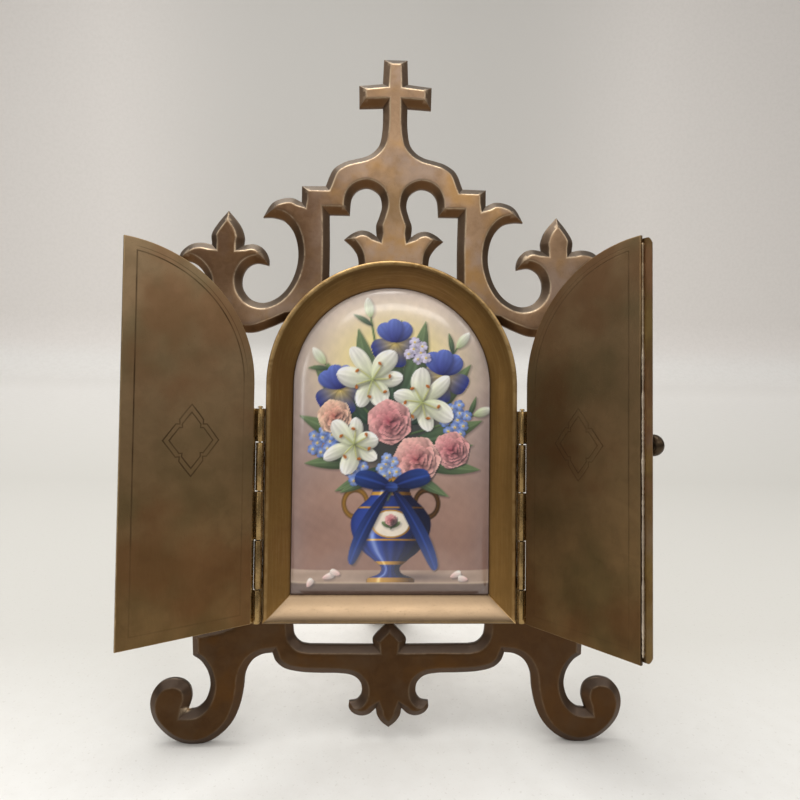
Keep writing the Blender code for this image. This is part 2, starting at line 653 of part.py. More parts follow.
def door_knob(axis):
    """A small turned knob with a foot, a neck and a flattened ball, on the astragal's crown."""
    ball = KNOB_REACH - KNOB_RADIUS * 0.9
    profile = [(0, KNOB_REACH)]
    for angle in (25, 50, 75, 100, 125):
        a = math.radians(angle)
        profile.append((KNOB_RADIUS * math.sin(a), ball + 0.9 * KNOB_RADIUS * math.cos(a)))
    profile += [(KNOB_NECK_RADIUS, 0.7), (KNOB_NECK_RADIUS + 0.7, 0.35), (KNOB_NECK_RADIUS + 0.7, 0), (0, 0)]
    knob = turned("door_knob", profile, axis, hinge_brass, 16)
    knob.rotation_euler.x = math.radians(90)
    knob.location = Vector((-AXIS_X, ASTRAGAL_FRONT - GAP - AXIS_Y, DOOR_FOOT + KNOB_HEIGHT_ON_DOOR)) * MM
    return knob


# Strut


def strut_angle():
    """The angle at the pivot between the plate and the strut, and the strut's length to the table."""
    pivot_back = STRUT_PIVOT_Y * math.cos(LEAN) + STRUT_PIVOT_HEIGHT * math.sin(LEAN)
    pivot_up = STRUT_PIVOT_HEIGHT * math.cos(LEAN) - STRUT_PIVOT_Y * math.sin(LEAN) - TABLE
    swing = math.atan2(STRUT_REACH - pivot_back, pivot_up)
    return swing + LEAN, math.hypot(STRUT_REACH - pivot_back, pivot_up)


def easel_strut(axis, angle, length):
    """A waisted strip that hangs from its knuckle. Its heel, above the pin, stops against the hinge plate."""
    half = 0.5 * STRUT_THICKNESS
    heel = (STRUT_PIVOT_DEPTH - GAP - half * math.cos(angle)) / math.sin(angle)
    tongue = 0.5 * STRUT_KNUCKLE
    right = [
        [(0, heel), (tongue, heel)],
        [(tongue, -1.2 * STRUT_BARREL_RADIUS)],
        [(0.5 * STRUT_TOP_WIDTH, -3.2 * STRUT_BARREL_RADIUS)],
        [(0.5 * STRUT_TOP_WIDTH - 0.6, -0.12 * length), (0.5 * STRUT_WAIST_WIDTH, -0.42 * length),
         (0.5 * STRUT_WAIST_WIDTH + 0.8, -0.7 * length), (0.5 * STRUT_FOOT_WIDTH, -length - 4)],
    ]
    outline = mirrored(outline_through(right))[::-1]
    bm = bmesh.new()
    rear = bm.faces.new([bm.verts.new((x, half, z)) for x, z in outline])
    front = bmesh.ops.extrude_face_region(bm, geom=[rear], use_keep_orig=True)["geom"]
    for vertex in (item for item in front if isinstance(item, bmesh.types.BMVert)):
        vertex.co.y = -half
    bmesh.ops.triangulate(bm, faces=[face for face in bm.faces if len(face.verts) > 4])
    bmesh.ops.recalc_face_normals(bm, faces=bm.faces)
    # The foot is cut level with the table: the cut is made as the strut stands.
    turn = axis.rotation_euler.to_matrix()
    bmesh.ops.rotate(bm, matrix=turn, verts=bm.verts)
    bmesh.ops.translate(bm, vec=(0, STRUT_PIVOT_Y, STRUT_PIVOT_HEIGHT), verts=bm.verts)
    cut_level(bm, TABLE)
    bmesh.ops.translate(bm, vec=(0, -STRUT_PIVOT_Y, -STRUT_PIVOT_HEIGHT), verts=bm.verts)
    bmesh.ops.rotate(bm, matrix=turn.inverted(), verts=bm.verts)
    strut = mesh_object("easel_strut", bm, axis, door_brass)
    reach = 0.5 * STRUT_KNUCKLE
    for radius, extra, operation in ((STRUT_BARREL_RADIUS, 0, "UNION"), (STRUT_BORE_RADIUS, 1, "DIFFERENCE")):
        bm = bmesh.new()
        add_rod(bm, (-reach - extra, 0, 0), (reach + extra, 0, 0), radius)
        operand = mesh_object(f"strut_{operation.lower()}", bm, axis, door_brass, group=cutters)
        boolean(strut, operand, operation)
    return strut


def strut_hinge():
    """A small plate on the back cover with two knuckles, and the pin that the strut swings on."""
    half = 0.5 * HINGE_PLATE_WIDTH
    inner = 0.5 * STRUT_KNUCKLE + KNUCKLE_GAP
    outer = half - 2.0
    bm = bmesh.new()
    add_box(bm, (-half, HINGE_PLATE_FRONT, STRUT_PIVOT_HEIGHT - 0.35 * HINGE_PLATE_HEIGHT),
            (half, HINGE_PLATE_BACK, STRUT_PIVOT_HEIGHT + 0.65 * HINGE_PLATE_HEIGHT))
    plate = mesh_object("strut_hinge_plate", bm, lean, hinge_brass)
    centre = (STRUT_PIVOT_Y, STRUT_PIVOT_HEIGHT)
    for side in (-1, 1):
        low, high = sorted((side * inner, side * outer))
        bm = bmesh.new()
        add_box(bm, (low, HINGE_PLATE_FRONT + 0.2, STRUT_PIVOT_HEIGHT - 0.8),
                (high, STRUT_PIVOT_Y, STRUT_PIVOT_HEIGHT + 0.8))
        boolean(plate, mesh_object(f"strut_web_{side}", bm, lean, hinge_brass, group=cutters), "UNION")
        bm = bmesh.new()
        add_rod(bm, (low, *centre), (high, *centre), STRUT_BARREL_RADIUS)
        boolean(plate, mesh_object(f"strut_barrel_{side}", bm, lean, hinge_brass, group=cutters), "UNION")
    bm = bmesh.new()
    add_rod(bm, (-half, *centre), (half, *centre), STRUT_BORE_RADIUS)
    boolean(plate, mesh_object("strut_bore", bm, lean, hinge_brass, group=cutters), "DIFFERENCE")
    bm = bmesh.new()
    add_rod(bm, (-outer - 0.6, *centre), (outer + 0.6, *centre), STRUT_PIN_RADIUS)
    mesh_object("strut_hinge_pin", bm, lean, hinge_brass)


# Assembly. The table is the level plane that the frame's feet are worn to, measured along its own upright.

TABLE = FOOT_FLAT - PLATE_BACK * math.sin(LEAN)

lean = empty("lean", None, (0, 0, 0), (-LEAN, 0, 0))
openwork_plate()
arch_frame()
porcelain_plaque()
back_cover()

for door_side, opened, label in ((-1, LEFT_OPEN, "left"), (1, RIGHT_OPEN, "right")):
    line = (door_side * AXIS_X, AXIS_Y, 0)
    hinge_line = empty(f"{label}_hinge_line", lean, line)
    door_line = empty(f"{label}_door_line", lean, line, (0, 0, door_side * opened))
    door_leaf(door_side, door_line)
    door_hinge(door_side, door_line, hinge_line)
    if door_side > 0:
        door_astragal(door_line)
        door_knob(door_line)

swing, strut_length = strut_angle()
strut_line = empty("strut_line", lean, (0, STRUT_PIVOT_Y, STRUT_PIVOT_HEIGHT), (swing, 0, 0))
strut_hinge()
easel_strut(strut_line, swing, strut_length)


def stand_on_origin():
    """Sets the whole piece down with the middle of its footprint at the origin."""
    bpy.context.view_layer.update()
    graph = bpy.context.evaluated_depsgraph_get()
    points = []
    for obj in parts.objects:
        if obj.type != "EMPTY":
            seen = obj.evaluated_get(graph)
            points += [obj.matrix_world @ vertex.co for vertex in seen.to_mesh().vertices]
            seen.to_mesh_clear()
    low = Vector(map(min, zip(*points)))
    high = Vector(map(max, zip(*points)))
    lean.location = (-(low.x + high.x) / 2, -(low.y + high.y) / 2, -TABLE * MM)


stand_on_origin()
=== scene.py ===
"""A painted porcelain plaque in an aged brass table-altar frame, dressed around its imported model.

The sections follow the object as it is put together. Sizes are in millimetres in the frame's own upright
position, with X to the right, Y to the back and Z up along the plate, until a piece is stood on the table.
"""

import math

import bmesh
import bpy
import numpy as np
from mathutils.geometry import delaunay_2d_cdt
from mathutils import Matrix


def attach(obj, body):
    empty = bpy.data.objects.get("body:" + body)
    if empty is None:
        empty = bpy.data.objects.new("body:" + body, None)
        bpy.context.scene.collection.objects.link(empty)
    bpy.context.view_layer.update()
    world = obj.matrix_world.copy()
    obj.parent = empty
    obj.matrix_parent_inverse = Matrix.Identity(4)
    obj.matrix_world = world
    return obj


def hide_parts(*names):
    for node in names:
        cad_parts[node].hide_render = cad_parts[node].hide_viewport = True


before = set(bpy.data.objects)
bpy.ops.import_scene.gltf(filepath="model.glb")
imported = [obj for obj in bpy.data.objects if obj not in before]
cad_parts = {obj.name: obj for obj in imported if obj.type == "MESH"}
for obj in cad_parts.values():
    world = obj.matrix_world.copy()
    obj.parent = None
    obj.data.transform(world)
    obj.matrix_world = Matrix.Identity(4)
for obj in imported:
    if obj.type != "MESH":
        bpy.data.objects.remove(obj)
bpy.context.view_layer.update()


# The studio: a pale table that sweeps up into a grey wall, under a bright ceiling. The camera stands close
# in front, at the height of the picture, and looks a little down.


def shown(name, data):
    """A new object of the data, put in the scene."""
    made = bpy.data.objects.new(name, data)
    bpy.context.scene.collection.objects.link(made)
    return made


camera = shown("camera", bpy.data.cameras.new("camera"))
camera.location = (-0.00513, -0.24688, 0.17168)
camera.rotation_euler = [math.radians(angle) for angle in (81.643, -0.96, -1.84)]
camera.data.sensor_width = 36.0
camera.data.lens = 27.0
camera.data.clip_start = 0.01
bpy.context.scene.camera = camera
bpy.context.scene.view_settings.view_transform = "Standard"


def set_sockets(node, values):
    """Sets a node's sockets, by name or number, to values, or links them to outputs of other nodes."""
    for name, value in values.items():
        if isinstance(value, Shade):
            value.tree.links.new(value.socket, node.inputs[name])
        else:
            node.inputs[name].default_value = value


class Shade:
    """One output of a material's nodes. Arithmetic on it adds Math nodes to the material."""

    def __init__(self, tree, socket=None):
        self.tree, self.socket = tree, socket

    def node(self, kind, settings=None, inputs=None, output=0):
        """A new node: its settings first, then the values or links of its sockets."""
        made = self.tree.nodes.new("ShaderNode" + kind)
        for name, value in (settings or {}).items():
            if name == "stops":
                ramp = made.color_ramp.elements
                while len(ramp) < len(value):
                    ramp.new(1.0)
                for stop, (position, color) in zip(ramp, value):
                    stop.position, stop.color = position, (*color[:3], 1.0)
            else:
                setattr(made, name, value)
        set_sockets(made, inputs or {})
        return Shade(self.tree, made.outputs[output])

    def math(self, operation, first, second, clamped=False):
        """A Math node of two values, whose result may be held between 0 and 1."""
        return self.node("Math", {"operation": operation, "use_clamp": clamped}, {0: first, 1: second})

    def __add__(self, other):
        return self.math("ADD", self, other)

    def __sub__(self, other):
        return self.math("SUBTRACT", self, other)

    def __rsub__(self, other):
        return self.math("SUBTRACT", other, self)

    def __mul__(self, other):
        return self.math("MULTIPLY", self, other)

    def __pow__(self, other):
        return self.math("POWER", self, other)

    __radd__, __rmul__ = __add__, __mul__

    def between(self, low, high):
        """0 below low, 1 above high, and a soft rise from one to the other."""
        settings = {"interpolation_type": "SMOOTHSTEP"}
        return self.node("MapRange", settings, {"Value": self, "From Min": low, "From Max": high})

    def mix(self, below, above, way="MIX"):
        """The colour below where this value is 0, and the colour above where it is 1."""
        settings = {"data_type": "RGBA", "blend_type": way}
        return self.node("Mix", settings, {0: self, 6: below, 7: above}, output=2)


def screen(red, green, blue):
    """A colour as it looks on a screen, 0 to 255, in the light values that a shader takes, and opaque. It
    takes arrays too, for the colours of many points."""
    shares = np.stack([red, green, blue], axis=-1) / 255
    light = np.where(shares > 0.04045, ((shares + 0.055) / 1.055) ** 2.4, shares / 12.92)
    return np.concatenate([light, np.ones((*light.shape[:-1], 1))], axis=-1)


def noise(where, scale, detail, roughness=0.5, distortion=0.0):
    """Clouds over a place, whose cells are about 1 / scale across."""
    return where.node("TexNoise", inputs={"Vector": where, "Scale": scale, "Detail": detail,
                                          "Roughness": roughness, "Distortion": distortion})


def new_finish(name):
    """A new material, the start of its nodes, and its shader."""
    made = bpy.data.materials.new(name)
    made.use_nodes = True
    return made, Shade(made.node_tree), made.node_tree.nodes["Principled BSDF"]


def as_points(x, y, z):
    """Grids of coordinates, broadcast together, as points in one row."""
    return np.stack(np.broadcast_arrays(x, y, z), axis=-1).reshape(-1, 3)


def grid_faces(rows, columns, first=0, row_closed=False, column_closed=False):
    """Corner numbers of the quads of a grid whose points are numbered row by row."""
    row = np.arange(rows if row_closed else rows - 1)[:, None]
    column = np.arange(columns if column_closed else columns - 1)[None]
    next_row, next_column = (row + 1) % rows, (column + 1) % columns
    corners = (row * columns + column, row * columns + next_column,
               next_row * columns + next_column, next_row * columns + column)
    return first + np.stack(corners, axis=-1).reshape(-1, 4)


TABLE_FRONT, WALL, SWEEP_RADIUS, WALL_HEIGHT, HALF_BREADTH = -1.4, 1.35, 0.16, 2.2, 3.2
# Painted shade on the table, from 0.2 m in front of the object to 1.3 m behind it: darker behind
# the object, pale again further back.
TABLE_LIGHT_AND_SHADE = [(0.067, screen(239, 239, 237)), (0.167, screen(209, 208, 203)),
               (0.367, screen(203, 202, 197)), (0.8, screen(240, 239, 236))]
bend = np.linspace(0, math.pi / 2, 17)
sweep_y = np.concatenate([[TABLE_FRONT, 0.0], WALL - SWEEP_RADIUS + SWEEP_RADIUS * np.sin(bend), [WALL]])
sweep_z = np.concatenate([[0.0, 0.0], SWEEP_RADIUS * (1 - np.cos(bend)), [WALL_HEIGHT]]) - 0.00005
sweep_x = np.linspace(-HALF_BREADTH, HALF_BREADTH, 5)
studio_points = as_points(sweep_x[None], sweep_y[:, None], sweep_z[:, None])
studio_mesh = bpy.data.meshes.new("table_and_wall")
studio_faces = grid_faces(len(sweep_y), len(sweep_x))
studio_mesh.from_pydata(studio_points.tolist(), [], studio_faces.tolist())
studio_mesh.shade_smooth()
studio_paint, paint, paint_shader = new_finish("pale_paint")
studio_mesh.materials.append(studio_paint)
studio = shown("table_and_wall", studio_mesh)

place = paint.node("TexCoord", output=3)
aside, behind, height = (paint.node("SeparateXYZ", inputs={0: place}, output=axis) for axis in range(3))
apart = paint.node("VectorMath", {"operation": "DISTANCE"}, {0: place, 1: (0.0, 0.06, 0.0)}, output=1)
speckle, mottling = noise(place, 700.0, 3.0), noise(place, 120.0, 3.0)
shaded_table_color = paint.node("ValToRGB", {"stops": TABLE_LIGHT_AND_SHADE}, {0: (behind + 0.2) * (1 / 1.5)})
# Painted light: the table is paler close behind the object's feet, which lifts the shadow there.
shaded_table_color = apart.between(0.05, 0.12).mix(screen(247, 246, 242), shaded_table_color)
# Painted shade: the wall is darker behind the object than to its sides.
shaded_wall_color = (aside * aside).between(0.0, 0.5).mix(screen(203, 201, 197), screen(236, 232, 228))
paint_color = height.between(0.03, 0.10).mix(shaded_table_color, shaded_wall_color)
paint_color = (mottling.between(0.35, 0.7) * 0.12).mix(paint_color, screen(208, 205, 199))
paint_color = (speckle.between(0.62, 0.72) * 0.22).mix(paint_color, screen(170, 164, 152))
grit = paint.node("Bump", inputs={"Height": speckle, "Distance": 0.0002, "Strength": 0.25})
set_sockets(paint_shader, {"Base Color": paint_color, "Roughness": speckle * 0.12 + 0.6, "Normal": grit})

world = bpy.data.worlds.new("room")
world.use_nodes = True
bpy.context.scene.world = world
room = Shade(world.node_tree)
upward = room.node("SeparateXYZ", inputs={0: room.node("TexCoord", output=0)}, output=2)
ROOM_LIGHT = [(0.0, (0.08, 0.075, 0.07)), (0.44, (0.10, 0.095, 0.09)), (0.52, (0.15, 0.145, 0.14)),
              (0.64, (0.24, 0.23, 0.225)), (0.74, (0.48, 0.465, 0.46)), (0.84, (0.86, 0.84, 0.82)),
              (0.92, (0.74, 0.72, 0.70)), (1.0, (0.70, 0.685, 0.67))]
room_color = room.node("ValToRGB", {"stops": ROOM_LIGHT}, {0: upward * 0.5 + 0.5})
set_sockets(world.node_tree.nodes["Background"], {"Color": room_color, "Strength": 1.0})

# (name, place, point it shines at, size, watts, colour)
LAMPS = [
    ("ceiling_panel", (-0.2, 0.05, 1.3), (0, 0.3, 0.0), (1.1, 0.8), 11.5, (1.0, 0.985, 0.955)),
    ("front_panel", (0.06, -1.20, 0.98), (0, 0, 0.17), (0.84, 0.17), 1.85, (1.0, 0.975, 0.955)),
    ("window_side", (-0.86, -1.15, 0.52), (0, 0, 0.14), (0.16, 0.42), 0.7, (1.0, 0.99, 0.97)),
    ("far_side", (1.15, -0.75, 0.95), (0, 0, 0.16), (0.5, 0.7), 1.6, (1.0, 0.97, 0.93)),
    ("near_side", (-1.25, -0.1, 0.98), (0, 0, 0.17), (0.5, 0.5), 1.1, (1.0, 0.99, 0.97)),
]
for name, stand, aim, size, watts, color in LAMPS:
    lamp = shown(name, bpy.data.lights.new(name, "AREA"))
    lamp.data.shape, lamp.data.energy, lamp.data.color = "RECTANGLE", watts, color
    lamp.data.size, lamp.data.size_y = size
    lamp.location = stand
    x, y, z = np.array(aim) - np.array(stand)
    lamp.rotation_euler = (math.atan2(math.hypot(x, y), -z), 0, math.atan2(y, x) - math.pi / 2)


# The openwork plate: one thick brass casting with a cross on its crest, winged scrolls, a rail with a
# pendant and two rolled legs. Its front edges are filed to a broad chamfer, whose arris is worn bright and
# given a painted highlight, and painted shade darkens its chamfers and sides.

LEAN = math.radians(10.0)
STANDS_AT_Y, STANDS_AT_Z = -27.435, -0.422     # where the leaning frame's origin comes to stand
ARCH_RADIUS = 50.0
SPRING = 144.0                                  # height of the arch's centre
FOOT = 50.0                                     # height of the moulding's foot
PLATE_BACK = 1.6
POINT_SPACING = 0.5
MERGED = 2e-7                                   # metres, below which two points are one
HOLLOW_MITRE = 1.45
# The plate's section from its side to its front: how far in, depth, and its wear and painted highlight.
PLATE_SECTION = np.array([
    (0.00, 1.30, 0.0), (0.00, 0.00, 0.0), (0.05, -0.22, 0.3), (0.24, -0.42, 0.1), (0.68, -0.76, 0.0),
    (1.35, -1.30, 0.0), (2.10, -1.90, 0.0), (2.58, -2.28, 0.15), (2.84, -2.45, 1.0), (3.10, -2.55, 0.4),
    (3.55, -2.60, 0.0)])
PLATE_BACK_EDGE = np.array([(0.30, 1.60), (0.08, 1.52)])
CHAMFER_STARTS, CHAMFER_WAVER = -0.3, 0.045     # the depth from which its width wavers, and the share
HELD_BACK_WEAR = 0.4                            # the wear and painted highlight on the ridges of narrow tips
WEAR_STARTS, WEAR_RISE = 62.0, 60.0             # more wear and painted highlight from this height on, over that one
FRONT_SWELL, BACK_SWELL = 0.045, 0.03
FLAT_SPACING, FLAT_MARGIN = 1.8, 0.8            # of the loose points in its flats
FEET_END, FEET_FADE = 40.0, 40.0                # the feet's own painted edge shade ends here, and fades over this
WINDOW = 3                                      # the number of the opening behind the picture
SCUFF = (-81.4, 13.9, 2.7, 1.3)                 # a bright scuff on the left foot: x, z and its half sizes


def stood(points):
    """Points of the upright frame in the world: tipped back about X, shifted, and put in metres."""
    x, y, z = np.moveaxis(np.asarray(points, float), -1, 0)
    turned_y = y * math.cos(LEAN) + z * math.sin(LEAN)
    turned_z = z * math.cos(LEAN) - y * math.sin(LEAN)
    return np.stack([x, STANDS_AT_Y + turned_y, STANDS_AT_Z + turned_z], axis=-1) / 1000


def solid(name, points, faces, finish, crease=35.0, values=None, maps=None):
    """A closed object from points in metres and corner numbers. Points that coincide are merged, faces are
    turned outwards, and edges sharper than crease stay sharp. values are attributes on the points, and
    maps holds a pair of numbers for each corner of each face, in order."""
    mesh = bpy.data.meshes.new(name)
    mesh.from_pydata(np.asarray(points).tolist(), [], [list(face) for face in faces])
    for label, numbers in (values or {}).items():
        numbers = np.asarray(numbers, np.float32)
        kind, field = ("FLOAT", "value") if numbers.ndim == 1 else ("FLOAT_COLOR", "color")
        mesh.attributes.new(label, kind, "POINT").data.foreach_set(field, numbers.ravel())
    if maps is not None:
        mesh.uv_layers.new(name="run").data.foreach_set("uv", np.asarray(maps, np.float32).ravel())
    bm = bmesh.new()
    bm.from_mesh(mesh)
    bmesh.ops.remove_doubles(bm, verts=bm.verts, dist=MERGED)
    bmesh.ops.recalc_face_normals(bm, faces=bm.faces)
    bm.to_mesh(mesh)
    bm.free()
    mesh.shade_smooth()
    mesh.set_sharp_from_angle(angle=math.radians(crease))
    mesh.materials.append(finish)
    return shown(name, mesh)


def fitted(piece, body, slot, *nodes):
    """Puts a piece on its body, in place of the model's plain solids. Its finish's slot is not used."""
    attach(piece, body)
    if nodes:
        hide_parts(*nodes)
    return piece


def curve_through(keys, spacing=POINT_SPACING):
    """Evenly spaced points along a smooth curve through the keys. Between two keys it is a cubic whose end
    slopes are the chords between each key's neighbours, shared out by distance."""
    keys = np.array(keys, float)
    run = np.vstack([2 * keys[0] - keys[1], keys, 2 * keys[-1] - keys[-2]])
    chord = np.linalg.norm(np.diff(run, axis=0), axis=1)
    slope = run[2:] - run[:-2]
    leave = slope[:-1] * (chord[1:-1] / (chord[:-2] + chord[1:-1]))[:, None]
    arrive = slope[1:] * (chord[1:-1] / (chord[1:-1] + chord[2:]))[:, None]
    t = np.linspace(0, 1, 40, endpoint=False)[None, :, None]
    start, end = keys[:-1, None], keys[1:, None]
    dense = (start * (2 * t**3 - 3 * t**2 + 1) + leave[:, None] * (t**3 - 2 * t**2 + t)
             + end * (3 * t**2 - 2 * t**3) + arrive[:, None] * (t**3 - t**2))
    dense = np.vstack([dense.reshape(-1, 2), keys[-1]])
    along = np.concatenate([[0], np.cumsum(np.linalg.norm(np.diff(dense, axis=0), axis=1))])
    stops = np.linspace(0, along[-1], max(1, round(along[-1] / spacing)) + 1)
    return np.stack([np.interp(stops, along, dense[:, axis]) for axis in (0, 1)], axis=1)


def outline_through(*stretches):
    """One open line from stretches of keys, where each stretch starts at the corner that ended the last."""
    parts, corner = [], None
    for keys in stretches:
        keys = keys if corner is None else [corner, *keys]
        parts.append(curve_through(keys)[:-1])
        corner = keys[-1]
    return np.vstack([*parts, [corner]])


def arc(radius, start, end, spacing=POINT_SPACING):
    """Points of a circle about the arch's centre, from one angle to another."""
    angles = np.linspace(start, end, max(2, round(radius * abs(end - start) / spacing)))
    return np.stack([radius * np.cos(angles), SPRING + radius * np.sin(angles)], axis=1)


def arched_outline(inset, spacing=POINT_SPACING):
    """The arch's closed outline, counter-clockwise, a given distance inside the moulding's outer edge."""
    radius, foot = ARCH_RADIUS - inset, FOOT + inset
    corners = [(-radius, SPRING), (-radius, foot), (radius, foot), (radius, SPRING)]
    sides = [curve_through(ends, spacing)[1:] for ends in zip(corners, corners[1:])]
    return np.vstack([*sides, arc(radius, 0, math.pi, spacing)[1:]])


def distances(points, loops, reach=8.0):
    """The distance from each point to the nearest edge of any closed loop, or reach where none is nearer.
    Each point is dropped on the line of every edge near its group, held between that edge's ends, and the
    nearest foot counts."""
    starts = np.concatenate(loops)
    ends = np.concatenate([np.roll(loop, -1, axis=0) for loop in loops])
    lows, highs = np.minimum(starts, ends), np.maximum(starts, ends)
    nearest = []
    for some in np.array_split(points, len(points) // 40 + 1):
        near = ((highs > some.min(0) - reach) & (lows < some.max(0) + reach)).all(1)
        along = ends[near] - starts[near]
        offset = some[:, None] - starts[near]
        share = np.clip((offset * along).sum(-1) / np.maximum((along**2).sum(1), 1e-12), 0, 1)[..., None]
        squares = ((offset - share * along) ** 2).sum(-1)
        nearest.append(np.sqrt(squares.min(1, initial=reach**2)))
    return np.concatenate(nearest)


def enclosed(points, loops):
    """Whether each point has the loops round it an odd number of times."""
    starts = np.concatenate(loops)
    ends = np.concatenate([np.roll(loop, -1, axis=0) for loop in loops])
    highest, lowest = np.maximum(starts, ends)[:, 1], np.minimum(starts, ends)[:, 1]
    inside = np.zeros(len(points), bool)
    for numbers in np.array_split(np.argsort(points[:, 1]), len(points) // 60 + 1):
        x, z = points[numbers, :1], points[numbers, 1:]
        near = (highest > z.min()) & (lowest < z.max())
        start, end = starts[near], ends[near]
        spans = (start[:, 1] > z) != (end[:, 1] > z)
        rise = np.where(end[:, 1] == start[:, 1], 1e-12, end[:, 1] - start[:, 1])
        crossing = start[:, 0] + (z - start[:, 1]) / rise * (end[:, 0] - start[:, 0])
        inside[numbers] = (spans & (crossing > x)).sum(1) % 2 == 1
    return inside


def inward_steps(loop):
    """The move that brings each point of a loop one millimetre in from both edges that meet there, and
    whether the loop turns sharply outwards at the point."""
    edges = np.roll(loop, -1, axis=0) - loop
    edges /= np.linalg.norm(edges, axis=1)[:, None]
    before = np.roll(edges, 1, axis=0)
    normals = np.stack([-edges[:, 1], edges[:, 0]], axis=1)
    halfway = normals + np.roll(normals, 1, axis=0)
    halfway /= np.linalg.norm(halfway, axis=1)[:, None]
    stretch = 1 / np.maximum((halfway * normals).sum(1), 0.3)
    turn = before[:, 0] * edges[:, 1] - before[:, 1] * edges[:, 0]
    stretch[turn < 0] = np.minimum(stretch[turn < 0], HOLLOW_MITRE)
    return halfway * stretch[:, None], turn > 0.45


def room_inside(loop, steps, loops, most):
    """How far each point may move in before another edge is nearer than its own, by halving the range."""
    room = np.full(len(loop), most)
    tight = np.flatnonzero(distances(loop + steps * most, loops) < 0.985 * most)
    low, high = np.zeros(len(tight)), np.full(len(tight), most)
    for _ in range(9):
        middle = (low + high) / 2
        free = distances(loop[tight] + steps[tight] * middle[:, None], loops) >= 0.985 * middle
        low, high = np.where(free, middle, low), np.where(free, high, middle)
    room[tight] = 0.97 * low
    return room


def flat_between(rings, spacing, margin):
    """Triangles that fill the flat between closed rings of (x, z) points, through loose points in rows
    that lie spacing apart and keep a margin from the rings. Gives all points and the corner numbers."""
    edges, first = [], 0
    for ring in rings:
        numbers = first + np.arange(len(ring))
        edges.append(np.stack([numbers, np.roll(numbers, -1)], axis=1))
        first += len(ring)
    border = np.concatenate(rings)
    low, high = border.min(0), border.max(0)
    rows = np.arange(low[1], high[1], spacing * 0.866)
    columns = np.arange(low[0], high[0], spacing)
    shift = (np.arange(len(rows)) % 2)[:, None] * spacing / 2
    loose = np.stack(np.broadcast_arrays(columns[None] + shift, rows[:, None]), axis=-1).reshape(-1, 2)
    loose = loose[enclosed(loose, rings)]
    loose = loose[distances(loose, rings) > margin]
    points = np.vstack([border, loose])
    found = delaunay_2d_cdt(points.tolist(), np.concatenate(edges).tolist(), [], 0, 1e-6, True)
    places, triangles, origins = np.array([tuple(v) for v in found[0]]), np.array(found[2]), found[3]
    numbers = np.array([origin[0] if origin else -1 for origin in origins])
    extra = np.flatnonzero(numbers < 0)
    numbers[extra] = len(points) + np.arange(len(extra))
    points = np.vstack([points, places[extra]]) if len(extra) else points
    triangles = numbers[triangles]
    return points, triangles[enclosed(points[triangles].mean(1), rings)]


def ramp(values, start, width):
    """0 up to start, 1 from a width beyond it on, and a straight rise between."""
    return np.clip((values - start) / width, 0, 1)


def ripple(points, size):
    """A gentle unevenness between -1 and 1 over places in the plate's plane: three crossing waves."""
    x, z = points[..., 0] / size, points[..., 1] / size
    waves = 2.1 * x + 1.3 * z + 0.4, -1.7 * x + 2.6 * z + 2.0, 3.1 * x - 0.6 * z
    return sum(np.sin(wave) for wave in waves) / 3


class Sheet:
    """A sheet put together from rings of points round its edges and flats between them. Each point has some
    marks, numbers between 0 and 1 that tell its finish what is there."""

    def __init__(self, marks):
        self.points, self.marks, self.faces = np.zeros((0, 3)), np.zeros((0, marks)), []

    def grow(self, flat, depth, marks):
        """Adds points at (x, z) places, with a depth and marks for each or for all."""
        marks = np.broadcast_to(marks, (*flat.shape[:-1], self.marks.shape[1]))
        self.points = np.vstack([self.points, as_points(flat[..., 0], depth, flat[..., 1])])
        self.marks = np.vstack([self.marks, marks.reshape(-1, marks.shape[-1])])

    def carry(self, rings, depths, marks=0.0):
        """Adds rings of (x, z) places side by side. Gives the numbers of the first and of the last."""
        first, (rows, count, _) = len(self.points), rings.shape
        self.faces += grid_faces(rows, count, first, column_closed=True).tolist()
        self.grow(rings, depths, marks)
        return first + np.arange(count), first + (rows - 1) * count + np.arange(count)

    def fill(self, rings, depth, spacing, margin, swell=0.0):
        """Adds triangles between rings of these numbers, through loose points. Away from the rings the
        flat wavers by swell about its depth."""
        outlines, known = [self.points[ring][:, [0, 2]] for ring in rings], np.concatenate(rings)
        flat, triangles = flat_between(outlines, spacing, margin)
        loose = flat[len(known):]
        numbers = np.concatenate([known, len(self.points) + np.arange(len(loose))])
        self.faces += numbers[triangles].tolist()
        deep = ramp(distances(loose, outlines), 0.0, 3.0)
        self.grow(loose, depth + swell * deep * ripple(loose, 5.5), 0.0)


# Keys of the right half of each edge, part by part, as x and z. The crest's count z from the arch's centre.
CROSS = [(0, 136), (4.9, 136)], [(5.3, 125.8)], [(15.1, 124.7)], [(14.9, 115.5)], [(5.1, 116.0)]
OGEE = [(5.2, 107), (6.3, 100.4), (8.8, 97.0), (12.2, 95.0), (16.6, 93.8), (21, 92.4), (25.4, 89.2),
        (28.4, 82.3)]
STEP = [(38.1, 82.1)], [(38.1, 75.4)]
LEAF = [(41.6, 77.0), (46.0, 76.7), (50.2, 74.6), (53.7, 68.8)]
SCROLL = [(49.5, 68.8), (45.0, 67.4), (41.2, 62.8), (39.3, 56.0), (39.6, 49.0), (42.2, 41.7), (46.6, 36.3),
          (52.4, 33.6), (57.6, 34.6), (61.2, 38.6), (61.8, 43.2), (59.9, 47.6), (56.2, 49.7), (51.0, 48.9)]
FLEUR = ([(51.0, 51.3), (52.2, 54.4), (54.6, 56.7), (57.8, 57.6), (61.5, 57.0)],
         [(61.2, 60.4), (63.0, 65.4), (67.7, 71.2)], [(71.9, 66.0), (74.5, 61.4), (74.3, 57.1)],
         [(78.2, 57.8), (82.3, 57.2), (85.6, 55.0), (87.3, 52.2), (86.8, 49.4)])
